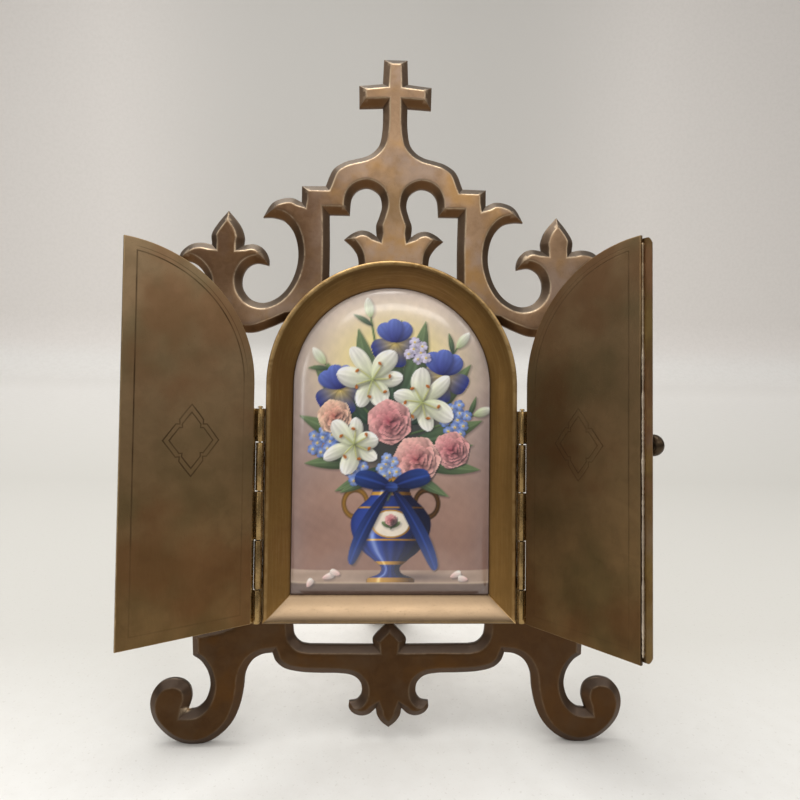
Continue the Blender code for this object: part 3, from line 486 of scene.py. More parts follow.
WING = [(83.2, 50.0), (79.4, 48.0), (76.6, 44.2), (75.2, 38.0), (73.2, 31.2), (68.8, 25.2), (62.8, 21.9),
        (57.0, 21.3), (50.0, 23.6), (43.0, 26.8)]
CREST_LEAF = ([(14.2, 46.6), (14.9, 53.4), (17.2, 57.2), (20.5, 60.2)],
              [(17.4, 62.7), (13.8, 64.2), (10.3, 63.8), (7.1, 61.8)])
CREST_LOBE = [(7.4, 66.2), (6.1, 70.2), (5.1, 74.6), (6.4, 79.4), (10.8, 82.0), (15.2, 80.8), (17.6, 77.4),
              (18.3, 70.5)]
CREST_BAR = [(26.6, 70.5)], [(26.3, 56), (26.4, 41.0)]
SHOULDER = [(48.8, 72), (51.0, 62.5), (58, 53.0), (67, 47.6), (79.1, 45.4)], [(78.6, 35.2)]
HOLLOW = [(75.2, 32.8), (72.4, 28.4), (71.5, 23.2), (73.2, 17.6), (76.6, 14.3), (80.1, 13.6)]
VOLUTE = [(78.7, 18.8), (79.8, 23.3), (83.0, 25.6), (87.0, 26.0), (91.2, 24.4), (94.2, 20.6), (95.1, 15.6),
          (93.6, 10.0), (89.8, 5.2), (84.6, 1.6), (78.2, 0.0), (71.8, 1.1), (66.4, 4.4), (62.2, 9.2),
          (59.7, 15.0), (58.3, 21.6), (57.5, 28.4), (54.8, 33.2), (51.0, 35.5), (47.0, 36.1)]
RAIL = [(45.6, 32.8), (42.2, 30.0), (36.0, 28.5), (28.0, 28.0), (19.5, 27.8), (14.4, 26.8), (11.4, 24.0),
        (11.0, 20.0), (12.8, 17.3), (16.0, 16.6)]
PENDANT = ([(16.0, 14.0), (14.2, 11.9), (11.0, 10.9), (7.8, 11.6), (5.2, 13.8)],
           [(4.6, 11.0), (2.8, 8.4), (0, 6.3)])
SLOT = ([(0, 48.9), (3.6, 45.5), (6.7, 41.8), (6.5, 39.2)],
        [(19, 39.3), (32.2, 39.4)], [(35.6, 40.2), (38.2, 43.0), (38.9, 47.0)])
RING = 48.8                                     # the plate's edge hides behind the moulding's
RING_JOINS = 40.0                               # how far from the middle the crest's wings meet that edge
WINDOW_INSET = 8.3
HALF_WIDTH = 95.1                               # from the middle to the outside of a rolled foot


def plate_loops():
    """The plate's outline, counter-clockwise, and its openings, clockwise, as arrays of (x, z)."""
    lift = np.array([0, SPRING])
    crest = outline_through(*CROSS, OGEE, *STEP, LEAF, SCROLL, *FLEUR, WING) + lift
    side = arc(RING, math.acos(RING_JOINS / RING), 0)
    legs = outline_through(*SHOULDER, HOLLOW, VOLUTE, RAIL, *PENDANT)
    right = np.vstack([crest, side, legs])
    left = right[1:-1][::-1] * (-1, 1)
    outline = np.vstack([right, left])[::-1]
    opening = outline_through(*CREST_LEAF, CREST_LOBE, *CREST_BAR) + lift
    low, high = opening[0][0], opening[-1][0]
    opening = np.vstack([opening[1:-1], arc(RING, math.acos(high / RING), math.acos(low / RING))])
    other = opening[::-1] * (-1, 1)
    slot = np.vstack([outline_through(*SLOT), [(38.9, 52.0)]])
    slot = np.vstack([slot, slot[1:][::-1] * (-1, 1)])[::-1]
    return [outline, opening, other, arched_outline(WINDOW_INSET)[::-1], slot]


def cast_plate():
    """The plate's section is carried along every loop. A point of the section lies w in from the edge, at a
    depth that follows from w, and w is held back where another edge comes near, which makes the ridges of
    narrow tips. Triangles through loose points fill the front and the back. The marks say how worn a point
    is, with a painted highlight on the arris, that it is an edge, which gets painted shade, and how far it
    faces up or down, for a painted grey reflection above and a darker painted shade below. From its place
    follow a scuff, an olive tone, painted shade at the sides and the feet's painted edge shade."""
    loops = plate_loops()
    insets, depths = np.vstack([PLATE_BACK_EDGE, PLATE_SECTION[:, :2]]).T[..., None]
    widest, flat_depth = PLATE_SECTION[-1, :2]
    sheet, backs, fronts = Sheet(4), [], []
    for loop in loops:
        steps, tip = inward_steps(loop)
        room = room_inside(loop, steps, loops, widest)
        room[tip] = np.minimum(np.roll(room, 1), np.roll(room, -1))[tip]
        wobble = 1 + CHAMFER_WAVER * ripple(loop, 9.0)
        reach = np.minimum(insets * np.where(depths > CHAMFER_STARTS, 1.0, wobble), room)
        level = np.interp(reach / wobble, PLATE_SECTION[3:, 0], PLATE_SECTION[3:, 1])
        level = np.where(depths < CHAMFER_STARTS, level, depths)
        if loop is loops[WINDOW]:      # its edge hides under the moulding, and stays nearly square
            reach, level = reach * 0.06, depths + 0 * reach
        wear_and_glint = np.concatenate([[0.0, 0.0], PLATE_SECTION[:, 2]])[:, None] + 0 * reach
        wear_and_glint[(room < widest - 0.05) & (np.arange(len(wear_and_glint)) > 7)[:, None]] = HELD_BACK_WEAR
        upward = -steps[:, 1] / np.linalg.norm(steps, axis=1)
        # Painted highlight: the arris is brighter where it faces up and higher on the plate.
        wear_and_glint *= np.clip(0.75 + 0.35 * upward, 0.15, 1)
        wear_and_glint *= np.clip((loop[:, 1] - WEAR_STARTS) / WEAR_RISE, 0.16, 1)
        # Painted shade on chamfers and sides: darker on all of them, a grey painted reflection where they
        # face up and a darker painted shade where they face down.
        edge = ramp(level, -2.5, 0.2)
        edge[0] = 0
        marks = np.stack([wear_and_glint, edge, edge * np.maximum(upward, 0), edge * np.maximum(-upward, 0)], axis=-1)
        back, front = sheet.carry(loop + steps * reach[..., None], level, marks)
        backs.append(back)
        fronts.append(front)
    sheet.fill(fronts, flat_depth, FLAT_SPACING, FLAT_MARGIN, FRONT_SWELL)
    sheet.fill(backs, PLATE_BACK, FLAT_SPACING, FLAT_MARGIN, BACK_SWELL)
    x, _, z = sheet.points.T
    rubbed, edge, upper, lower = sheet.marks.T
    scuffed = 2.2 - np.hypot((x - SCUFF[0]) / SCUFF[2], (z - SCUFF[1]) / SCUFF[3]) * 2.2
    # Painted shade: the crest's left side is darker, and the right side a little.
    smoky = ramp(-x, 12, 24) * ramp(z, 172, 16) + 0.25 * ramp(x, 22, 30)
    above_feet = ramp(z, FEET_END, FEET_FADE)
    placed = stood(sheet.points)
    placed[:, 2] = np.maximum(placed[:, 2], 0.0)      # the feet are worn level with the table
    placed[:, 0] = np.clip(placed[:, 0], -HALF_WIDTH / 1000, HALF_WIDTH / 1000)
    return placed, sheet.faces, {
        "rubbed": np.clip(np.maximum(rubbed, scuffed), 0, 1.4), "smoky": np.clip(smoky, 0, 1),
        "olive": np.exp(-((x / 9) ** 2) - ((z - 217) / 11) ** 2), "edge": edge * above_feet,
        "upper": upper * above_feet, "lower": lower * above_feet,
        "low_edge": (0.25 * edge + 0.75 * upper) * (1 - above_feet)}


def brass(name, dark, body, worn, cloud=70.0, rough=0.40, blend=0.6, patches=(), tints=(), low=None,
          grain=None, grain_depth=0.0, shift=(0.0, 0.0, 0.0), run=False):
    """Aged brass, with colours as they look on a screen. Clouds and small blotches of a dark patina lie
    over the body colour by the share blend, and patches of other colours over both. low paints shade that
    darkens what stands near the table, tints colour the places that a value on the mesh marks, some of them
    painted light and shade, and places marked worn show the worn colour, which also paints highlights on
    edges. grain stretches fine brush marks along one of the object's directions, or along its run."""
    finish, start, shader = new_finish(name)
    dark, body, worn = screen(*dark), screen(*body), screen(*worn)
    where = start.node("TexCoord", output=3)
    moved = start.node("Mapping", inputs={"Vector": where, "Location": shift})
    clouds, blotches = noise(moved, cloud, 5.0, 0.62), noise(moved, cloud * 5.2, 4.0, 0.6, 0.6)
    patina = (clouds.between(0.34, 0.66) * 0.62 + blotches.between(0.38, 0.70) * 0.38) * blend
    color = patina.mix(body, dark)
    for number, (tone, size, share) in enumerate(patches):
        apart = start.node("Mapping", inputs={"Vector": moved, "Location": (0.7 + number, 0.3, 0.1)})
        color = (noise(apart, size, 3.0, 0.6).between(0.46, 0.66) * share).mix(color, screen(*tone))
    # Painted shade: the brass darkens towards the table.
    if low:
        heights, tone = low
        up = start.node("SeparateXYZ", inputs={0: where}, output=2)
        color = (1 - up.between(*heights)).mix(color, (*tone, 1), "MULTIPLY")
    for label, tone, share in tints:
        marked = start.node("Attribute", {"attribute_name": label}, output=2)
        cover = start.math("MULTIPLY", marked, blotches * 0.3 + (share - 0.15), clamped=True)
        color = cover.mix(color, screen(*tone))
    # Wear and painted highlight: the marked places on the mesh show the worn colour.
    rubbed = start.node("Attribute", {"attribute_name": "rubbed"}, output=2)
    ragged = blotches.between(0.34, 0.62) * 0.55 + clouds.between(0.36, 0.60) * 0.35 + 0.10
    bare_and_glint = start.math("MULTIPLY", rubbed * ragged, 0.8, clamped=True)
    color = bare_and_glint.mix(color, worn)
    pits = noise(moved, 2300.0, 2.0).between(0.62, 0.76)
    color = (pits * 0.25).mix(color, (*[channel * 0.4 for channel in dark[:3]], 1))
    height = blotches * 0.3 - pits * 0.5
    gloss = rough + (clouds - 0.5) * 0.16 + (blotches - 0.5) * 0.14 - bare_and_glint * 0.10
    if grain:
        source = start.node("UVMap", {"uv_map": "run"}) if run else where
        brushed = noise(start.node("Mapping", inputs={"Vector": source, "Scale": grain}), 1.0, 4.0, 0.7)
        height = height + brushed * (grain_depth * 4)
        color = (brushed.between(0.42, 0.72) * grain_depth).mix(color, worn)
        gloss = gloss + (brushed - 0.5) * (grain_depth * 2)
    bump = start.node("Bump", inputs={"Height": height, "Distance": 0.00006, "Strength": 0.9})
    set_sockets(shader, {"Metallic": 0.9, "Base Color": color, "Roughness": gloss, "Normal": bump})
    return finish


# Among the tints, those for the edges, for chamfers facing up and down, for the feet's edges and for the
# sides are painted shade and a painted grey reflection, and low paints shade on the legs near the table.
cast_brass = brass("aged_brass", (122, 95, 70), (160, 132, 104), (238, 214, 180), cloud=60.0,
                   patches=[((172, 132, 78), 48.0, 0.6), ((160, 142, 130), 62.0, 0.55)],
                   tints=[("smoky", (90, 64, 42), 0.85), ("olive", (120, 92, 52), 0.75),
                          ("edge", (86, 69, 54), 0.9), ("upper", (84, 74, 64), 1.0),
                          ("lower", (88, 60, 34), 0.95), ("low_edge", (84, 72, 63), 0.9)],
                   low=((0.05, 0.12), (0.22, 0.165, 0.10)))
plate_points, plate_faces, plate_marks = cast_plate()
plate = solid("cast_plate", plate_points, plate_faces, cast_brass, values=plate_marks)
fitted(plate, "frame", "aged_brass", "openwork_plate")


# The moulding: a proud brass arch, mitred at its two lower corners. Its face falls in a shallow swell from
# a rounded lip down to a thin inner edge, which holds the picture, and is brushed along its length.

MOULDING_WIDTH, MOULDING_FRONT, MOULDING_BACK = 10.4, -8.2, -2.9
LIP_WIDTH, LIP_ROUND = 1.6, 0.9
INNER_DROP, FACE_SWELL, REBATE_BACK, REBATE_WIDTH = 4.1, 0.5, -3.5, 2.0
MITRE_SINK, MITRE_HALF_WIDTH = 0.07, 0.28


def moulding_section():
    """The moulding's closed section as rows of (inset, depth, wear and painted highlight, painted shade).
    """
    turn = np.radians([0, 15, 30, 45, 60, 75, 90])
    lip = np.stack([LIP_ROUND * (1 - np.cos(turn)), MOULDING_FRONT + LIP_ROUND * (1 - np.sin(turn)),
                    0.25 + 0.55 * np.sin(turn), 0 * turn], axis=1)
    share = np.linspace(0, 1, 17)
    swell = FACE_SWELL * 4 * share * (1 - share)
    fall = MOULDING_FRONT + 0.1 + (INNER_DROP - 0.1) * share - swell
    face = np.stack([LIP_WIDTH + (MOULDING_WIDTH - LIP_WIDTH) * share, fall, 0 * share, 0 * share], axis=1)
    # Painted shade darkens the inner edge, where the moulding meets the picture.
    face[0, 2], face[-2, 3] = 0.55, 0.25
    face[-1] = MOULDING_WIDTH - 0.06, fall[-1] - 0.02, 0.0, 1.0
    wide, rebate = MOULDING_WIDTH, MOULDING_WIDTH - REBATE_WIDTH
    inner = [(wide, fall[-1] + 0.12, 0.0, 1.0), (wide, REBATE_BACK - 0.08, 0.0, 1.0),
             (wide - 0.08, REBATE_BACK, 0.0, 0.5), (rebate, REBATE_BACK, 0.0, 0.0),
             (rebate, MOULDING_BACK, 0.0, 0.0), (0.1, MOULDING_BACK, 0.0, 0.0),
             (0.0, MOULDING_BACK - 0.1, 0.1, 0.0), (0.0, 0.5 * (MOULDING_BACK + MOULDING_FRONT), 0.0, 0.0)]
    return np.vstack([lip, face, inner])


def mitred_arch():
    """The section is set at every station of the closed run: along the foot, up the right side, over the
    arch and down the left side. A point's place depends on the station and on how far in it lies. The
    stations at the mitres sink a little, so that the joint shows as a fine line, which a painted glint
    brightens. The brush marks run along the arch and its sides, and across the foot."""
    section = moulding_section()
    inset, depth, bright, section_shade = section.T
    width, foot = ARCH_RADIUS - inset, FOOT + inset
    even = np.linspace(0, 1, 25)[1:-1]
    near, low = MITRE_HALF_WIDTH / (2 * ARCH_RADIUS), MITRE_HALF_WIDTH / (SPRING - FOOT)
    across = np.concatenate([[0, near], even, [1 - near]])[:, None]
    rise = np.concatenate([[0, low], even])[:, None]
    fall = np.concatenate([np.linspace(1, 0, 25)[:-1], [low]])[:, None]
    angle = np.linspace(0, math.pi, 73)[:-1, None]
    x = np.vstack([(2 * across - 1) * width, width + 0 * rise, width * np.cos(angle), -width + 0 * fall])
    z = np.vstack([foot + 0 * across, foot + (SPRING - foot) * rise, SPRING + width * np.sin(angle),
                   foot + (SPRING - foot) * fall])
    y, on_rail = depth + 0 * x, 0 * x
    # Painted light: the rail, whose face looks up, is painted lighter.
    on_rail[1:len(across)] = 1
    # The lip's wear and painted highlight, brighter towards the arch's top and dimmer on the rail.
    rubbed = bright * (0.4 + 0.6 * ramp(z - SPRING, -25, 40))
    rubbed[:len(across)] *= 0.7
    # Painted shade: the face darkens towards the arch's top, and on the rail the lower lip and the part
    # next to the picture are darker.
    sooty = section_shade + 0.58 * ramp(z, SPRING, ARCH_RADIUS) ** 1.5 * (bright < 0.2)
    sooty[:len(across)] += np.clip(1.0 - (inset - 0.6) / 2.6, 0, 0.9) * (depth < MOULDING_FRONT + 1)
    sooty[:len(across)] += 0.38 * ramp(inset, 6.0, 3.5) * (depth < REBATE_BACK)
    # Painted glints along the two mitre lines.
    for station, glint in ((0, 0.6), (len(across), 1.8)):
        y[station] += MITRE_SINK * (depth < MOULDING_BACK - 0.4)
        rubbed[station] = glint
    along, over = (
        np.concatenate([[0], np.cumsum(np.linalg.norm(np.roll(line, -1, axis=0) - line, axis=1))]) / 1000
        for line in (np.stack([x[:, 12], z[:, 12]], axis=1), section[:, :2]))
    rows, columns = x.shape
    faces = grid_faces(rows, columns, row_closed=True, column_closed=True)
    row, column = np.divmod(np.arange(rows * columns), columns)
    corner_rows = np.stack([row, row, row + 1, row + 1], axis=1)
    corner_columns = np.stack([column, column + 1, column + 1, column], axis=1)
    maps = np.stack([along[corner_rows], over[corner_columns]], axis=-1)
    maps[:len(across) * columns] = maps[:len(across) * columns, :, ::-1]
    marks = {"rubbed": rubbed.ravel(), "sooty": np.minimum(sooty, 1).ravel(), "on_rail": on_rail.ravel()}
    return stood(as_points(x, y, z)), faces, marks, maps


# The rail's pale tint is painted light and the dark tint painted shade.
moulding_brass = brass("moulding_brass", (100, 74, 38), (124, 92, 48), (236, 200, 140), cloud=40.0,
                       rough=0.36, blend=0.5, patches=[((112, 78, 44), 30.0, 0.4)],
                       tints=[("on_rail", (197, 169, 136), 1.0), ("sooty", (58, 40, 24), 0.95)],
                       grain=(60.0, 1500.0, 1.0), grain_depth=0.045, run=True)
arch_points, arch_faces, arch_marks, arch_maps = mitred_arch()
arch_moulding = solid("arch_moulding", arch_points, arch_faces, moulding_brass, crease=24.0,
                      values=arch_marks, maps=arch_maps)
fitted(arch_moulding, "frame", "moulding_brass", "arch_frame")


# The porcelain: an arched, pillowed tile with a flat margin under the moulding, painted over a pale glaze
# and fired again, so that its face is glossy all over.

TILE_INSET, TILE_FRONT, TILE_BACK = 8.7, -3.2, 1.1
TILE_MARGIN, DOME_RISE, DOME_REACH = 2.0, 2.5, 5.5
TILE_COLUMNS, TILE_ROWS = 241, 385
TILE_RADIUS = ARCH_RADIUS - TILE_INSET
TILE_FOOT = FOOT + TILE_INSET


def tile_grid():
    """Columns that stand on the tile's foot and end on its arch, with rows at equal shares of each column.
    The columns lie closer together towards the sides. Gives x and z as grids."""
    share = np.linspace(0, 1, TILE_COLUMNS)
    across = TILE_RADIUS * (0.55 * (2 * share - 1) - 0.45 * np.cos(math.pi * share))
    top = SPRING + np.sqrt(np.maximum(TILE_RADIUS**2 - across**2, 0))
    rise = np.linspace(0, 1, TILE_ROWS)[:, None]
    return np.broadcast_to(across, (TILE_ROWS, TILE_COLUMNS)), TILE_FOOT + (top - TILE_FOOT) * rise


def dome(x, z):
    """The tile's rise at a place: it nears its full height by a factor of e for each DOME_REACH further in
    from the margin. The distances from the foot and the sides are blended, so that the corners are soft."""
    side = np.where(z > SPRING, TILE_RADIUS - np.hypot(x, z - SPRING), TILE_RADIUS - np.abs(x))
    foot = z - TILE_FOOT
    near = -1.6 * np.log(np.exp(-side / 1.6) + np.exp(-foot / 1.6))
    inside = np.maximum(near - TILE_MARGIN, 0)
    return DOME_RISE * (1 - np.exp(-inside / DOME_REACH)) * (1 - np.exp(-(inside / 0.5)))


def mottle(x, z, size, seed):
    """Unevenness of about -1 to 1 over a flat: twelve crossing waves, drawn from a seed."""
    draw = np.random.default_rng(seed)
    angle, start = draw.uniform(0, 2 * math.pi, (2, 12))
    pace = draw.uniform(0.6, 1.6, 12) * 2 * math.pi / size
    return np.sin((x[:, None] * np.cos(angle) + z[:, None] * np.sin(angle)) * pace + start).sum(1) / 4


def soft_step(values, low, high):
    """0 below low, 1 above high, and a soft rise between them."""
    share = ramp(values, low, high - low)
    return share * share * (3 - 2 * share)


def within(distance, soft):
    """1 well inside an edge, 0 well outside it, by the distance in from it and how soft it is."""
    return np.clip(distance / soft + 0.5, 0, 1)


def heading(degrees):
    """The cosine and the sine of an angle."""
    return math.cos(math.radians(degrees)), math.sin(math.radians(degrees))


class Painting:
    """The enamel on the tile's face: a colour for each of its points, 0 to 255 as it looks. Places are in
    millimetres from the middle of the picture's foot. Each method lays one thing over what is there."""

    def __init__(self, x, z):
        self.x, self.z = x, z
        self.color = np.zeros((len(x), 3))

    def lay(self, color, cover, chosen=slice(None)):
        """Covers the chosen points with a colour, each by a share between 0 and 1."""
        self.color[chosen] += (np.asarray(color, float) - self.color[chosen]) * cover[:, None]

    def petal(self, root, turn, length, width, inner, outer, shape=(0.8, 0.7), bend=0.0, vein=0.1,
              shadow=0.35):
        """A petal or a leaf, turned by degrees. At the share u of its length its half width goes as
        u**a * (1-u)**b. Its colour runs from inner to outer, the side towards the light is lit, a vein and
        fine streaks run along it, and a soft shadow falls to its lower right."""
        a, b = shape
        widest = (a / (a + b)) ** a * (b / (a + b)) ** b
        chosen = np.flatnonzero(np.hypot(self.x - root[0], self.z - root[1]) < 1.1 * length + 2)
        c, s = heading(turn)

        def inside(shift, soft):
            x, z = self.x[chosen] - root[0] - shift, self.z[chosen] - root[1] + shift
            along = (x * c + z * s) / length
            u = np.clip(along, 0.001, 0.999)
            half = width * u**a * (1 - u) ** b / widest
            side = z * c - x * s - bend * length * along**2
            cover = within(half - np.abs(side), soft) * (along > 0) * (along < 1)
            return u, np.clip(side / np.maximum(half, 0.1), -1, 1), cover

        self.lay((44, 38, 44), inside(0.5, 1.5)[2] * shadow, chosen)
        u, side, cover = inside(0.0, 0.35)
        lit = side * (0.85 * c + 0.5 * s)
        shade = 1 + 0.12 * np.maximum(lit, 0) + 0.30 * np.minimum(lit, 0)
        shade += 0.035 * np.sin(11 * side + 4 * u)
        shade -= vein * np.exp(-((side / 0.14) ** 2)) * (1 - 0.6 * u)
        color = np.array(inner) + (np.array(outer) - np.array(inner)) * (u**0.7)[:, None]
        self.lay(np.clip(color * shade[:, None], 0, 250), cover, chosen)

    def leaf(self, x, z, turn, length, bend=0.12):
        """A long narrow leaf with a pale vein."""
        green = (38, 56, 50), (112, 132, 92)
        self.petal((x, z), turn, length, 0.12 * length, *green, (0.8, 1.0), bend, -0.25)

    def lily(self, x, z, size, turn):
        """Three petals behind and three in front, and stamens with rust-coloured ends."""
        for number in (0, 2, 4, 1, 3, 5):
            angle = turn + 60 * number
            reach = size * (0.86 + 0.14 * heading(angle - turn)[0])
            self.petal((x, z), angle, reach, size * (0.21 + 0.06 * (number % 2)), (196, 206, 156),
                       (247, 244, 240), (0.8, 0.55), 0.10 * (-1) ** number, 0.14)
        for number in range(6):
            angle = turn + 25 + 55 * number
            c, s = heading(angle)
            self.petal((x, z), angle, 0.46 * size, 0.3, (170, 184, 110), (206, 200, 140), (0.3, 0.3), 0, 0)
            tip = x + 0.44 * size * c, z + 0.44 * size * s
            self.petal(tip, angle + 80, 1.9, 0.6, (150, 78, 34), (196, 118, 52))

    def rose(self, x, z, size, turn, dark=(150, 62, 78), light=(232, 176, 172)):
        """Rings of broad petals, each ring smaller, darker and turned on the one before."""
        rings = (1.0, 6), (0.82, 5), (0.65, 5), (0.48, 4), (0.32, 3), (0.18, 2)
        for ring, (share, count) in enumerate(rings):
            outer, reach = np.array(light) + (np.array(dark) - light) * 0.09 * ring, size * share
            for number in range(count):
                self.petal((x, z), turn + 47 * ring + 360 * number / count, reach, 0.56 * reach,
                           dark, outer, (0.7, 0.2), 0.06, 0.03, 0.5)

    def iris(self, x, z, size, lean=0):
        """Three hanging petals with a yellow root, and three upright ones."""
        for angle in (200, 340, 270):
            self.petal((x, z), angle + lean, size, 0.40 * size, (236, 206, 104), (40, 52, 130),
                       (0.9, 0.35), 0.08, -0.12)
        for angle in (128, 52, 90):
            self.petal((x, z), angle + lean, 0.95 * size, 0.33 * size, (34, 36, 100), (104, 124, 204),
                       (0.8, 0.45), 0.05)

    def posy(self, x, z, size, count, tint=(96, 128, 208)):
        """A head of small five-petalled flowers, set along a sunflower's spiral."""
        for number in range(count):
            angle, reach = 137.5 * number, size * math.sqrt((number + 0.5) / count)
            c, s = heading(angle)
            place = x + reach * c, z + reach * s
            for leaf_turn in range(0, 360, 72):
                self.petal(place, angle + leaf_turn, 2.1, 0.95, (226, 228, 232), tint, (0.6, 0.3), 0, 0,
                           0.25)
            self.petal((place[0] - 0.45, place[1]), 0, 0.9, 0.45, (230, 190, 80), (244, 214, 110),
                       (0.4, 0.4), 0, 0, 0)

    def ground(self):
        """A clouded wall from mauve-brown up to a pale grey pink, a yellow glow, and a stone ledge."""
        x, z, heights = self.x, self.z, [0, 40, 84, 124]
        tints = np.array([(140, 104, 90), (166, 134, 120), (206, 186, 178), (220, 202, 196)])
        self.color = np.stack([np.interp(z, heights, channel) for channel in tints.T], axis=1)
        self.lay((146, 132, 134), 0.45 * soft_step(np.abs(x) + 0.1 * z, 30, 50))
        self.color += mottle(x, z, 26, 5)[:, None] * (5, 4, 3) + mottle(x, z, 9, 6)[:, None] * 1.2
        self.lay((250, 234, 150), np.exp(-(np.hypot(x / 25, (z - 92) / 20) ** 2.2)))
        stone = np.array((178, 152, 134)) + mottle(x * 0.4, z * 2, 7, 8)[:, None] * 6
        self.lay(stone, soft_step(-z, -10.3, -9.7))
        self.lay(stone * (0.62, 0.58, 0.58), soft_step(-z, -5.2, -4.6))
        self.lay((216, 192, 166), 0.7 * np.exp(-(((z - 4.8) / 0.45) ** 2)))
        self.lay((70, 54, 56), 0.55 * np.exp(-(((x - 8) / 17) ** 2 + ((z - 7.2) / 1.7) ** 2)))

    def urn(self):
        """A turned urn seen level: its half width follows URN_KEYS, and light falls on it from the left."""
        outline, x, z = curve_through(URN_KEYS, 0.5), self.x, self.z
        half = np.interp(z, outline[:, 0], outline[:, 1], left=-1, right=-1)
        side = np.clip(x / np.maximum(half, 0.1), -1, 1)
        light = np.clip(0.75 * np.sqrt(1 - side**2) - 0.55 * side, 0, 1)[:, None]
        glint = np.exp(-(((side + 0.5) / 0.08) ** 2))[:, None]
        blue = np.array((12, 17, 48)) + light**1.5 * (40, 62, 122) + glint * (120, 122, 116)
        blue *= 1 - 0.22 * (np.sin(np.arcsin(side) * 9)[:, None] ** 2) * (soft_step(-z, -25, -21)[:, None])
        gold = np.array((84, 54, 20)) + light * (134, 110, 52) + glint * (60, 70, 80)
        handle = np.abs(np.hypot(np.abs(x) - 14.2, (z - 36.5) * 0.85) - 4.6)
        self.lay(gold * (1 - 0.4 * handle[:, None] / 0.9), within(0.9 - handle, 0.4))
        cover = within(half - np.abs(x), 0.4)
        self.lay(blue, cover)
        for low, high in URN_BANDS:
            above = cover * soft_step(z, low - 0.2, low + 0.2)
            self.lay(gold, above * soft_step(-z, -high - 0.2, 0.2 - high))
        oval = np.hypot(x / 7.6, (z - 28.5) / 5.4)
        self.lay(gold, cover * soft_step(-oval, -1.08, -1.02))
        self.lay(np.array((216, 206, 190)) + light * (30, 28, 26), cover * soft_step(-oval, -0.97, -0.91))


URN_KEYS = [(5.0, 9.6), (6.6, 9.2), (8.6, 4.6), (11.0, 3.6), (13.4, 6.0), (18.0, 11.4), (24.0, 15.2),
            (30.0, 15.8), (35.0, 12.8), (39.0, 8.6), (42.0, 7.4), (44.5, 8.0), (47.5, 10.8)]
URN_BANDS = [(5.0, 7.0), (12.2, 13.6), (21.8, 22.5), (34.6, 35.3), (39.8, 41.2), (45.2, 47.5)]
# Where each thing grows from: x, z and its turn in degrees. A leaf's and a petal's length comes last, and a
# ribbon has no place but a turn, length, width and bend.
LEAVES = [(-6, 60, 168, 33), (6, 60, 10, 32), (-8, 68, 143, 33), (8, 68, 38, 34), (-3, 73, 116, 35),
          (3, 74, 66, 37), (-8, 56, 196, 27), (8, 55, -18, 28), (-5, 51, 217, 20), (6, 50, -40, 20),
          (0, 76, 92, 34), (12, 72, 52, 27), (-13, 70, 128, 26), (-14, 55, 182, 18), (15, 57, 2, 18)]
BUDS = [(-27, 92, 128), (26, 99, 52), (-9, 111, 100), (33, 72, 20)]
RIBBONS = [(-52, 37, 2.7, -0.16), (-128, 34, 2.7, 0.18), (158, 15, 3.6, 0.1), (24, 16, 3.8, -0.1)]
FALLEN = [(-27, 6.6, 20, 5.0), (-20, 8.2, 160, 4.2), (24, 7.2, 25, 4.6), (31, 6.2, 170, 4.0),
          (-33, 3.0, 60, 4.0)]


def bouquet(painting):
    """Lilies, irises and roses in the urn, from the back of the picture to its front."""
    painting.ground()
    shade = soft_step(-np.hypot(painting.x / 27, (painting.z - 68) / 24), -1.0, -0.55)
    painting.lay((44, 52, 54), 0.85 * shade)
    for x, z, turn, length in LEAVES:
        painting.leaf(x, z, turn, length, 0.14 if turn < 90 else -0.14)
    for x, z, turn in BUDS:
        away, reach = math.degrees(math.atan2(z - 62, x)), math.hypot(x, z - 62) + 1
        painting.petal((0, 62), away, reach, 0.45, (60, 84, 58), (104, 128, 82), (0.1, 0.1), 0, 0, 0.2)
        painting.leaf(0.93 * x, 62 + 0.93 * (z - 62), turn + 42, 9)
        painting.petal((x, z), turn, 8.5, 1.9, (168, 186, 130), (246, 243, 236), (0.7, 0.8))
    painting.iris(-21, 82, 10.5, 12)
    painting.iris(20, 88, 11, -10)
    painting.iris(1, 101, 10)
    painting.posy(-26, 61, 6.5, 13)
    painting.posy(10, 97, 4.5, 7, (206, 196, 230))
    painting.posy(25, 70, 6.5, 12)
    painting.rose(-23, 71, 6.5, 20, (176, 92, 84), (240, 204, 178))
    painting.rose(24, 58, 7.0, 50)
    painting.lily(-8, 86, 15.5, 118)
    painting.lily(12, 77, 15.0, 38)
    painting.rose(-1, 69, 8.5, 10)
    painting.urn()
    painting.petal((0, 26), 90, 5.6, 0.5, (70, 90, 60), (110, 130, 90), (0.4, 0.4))
    for turn in (150, 30):
        painting.petal((0, 27), turn, 4.4, 0.9, (60, 84, 56), (124, 142, 98))
    painting.rose(0, 30, 2.3, 0)
    for x, z, turn, length in ((-7, 47, 205, 15), (8, 47, -28, 15), (0, 46, -100, 9)):
        painting.leaf(x, z, turn, length, 0.0)
    painting.posy(-13, 49, 4.2, 8)
    painting.lily(-15, 60, 13.5, 200)
    painting.rose(10, 54, 9.0, 35, (160, 74, 84), (238, 190, 180))
    painting.posy(-1, 51, 4.2, 8, (120, 150, 220))
    for *blade, bend in RIBBONS:
        painting.petal((0, 43), *blade, (16, 22, 58), (40, 66, 132), (0.6, 0.35), bend, -0.6, 0.5)
    painting.petal((-2.6, 43), 0, 5.2, 1.9, (22, 32, 80), (56, 82, 150), (0.4, 0.4), 0, -0.4, 0.5)
    for x, z, turn, length in FALLEN:
        painting.petal((x, z), turn, length, 1.3, (226, 180, 174), (246, 232, 224), (0.6, 0.3))
    painting.color *= 1 + 0.006 * mottle(painting.x, painting.z, 1.3, 11)[:, None]
    painting.color *= 1 + 0.014 * mottle(painting.x, painting.z, 5.0, 12)[:, None]
    return np.clip(painting.color, 0, 250)


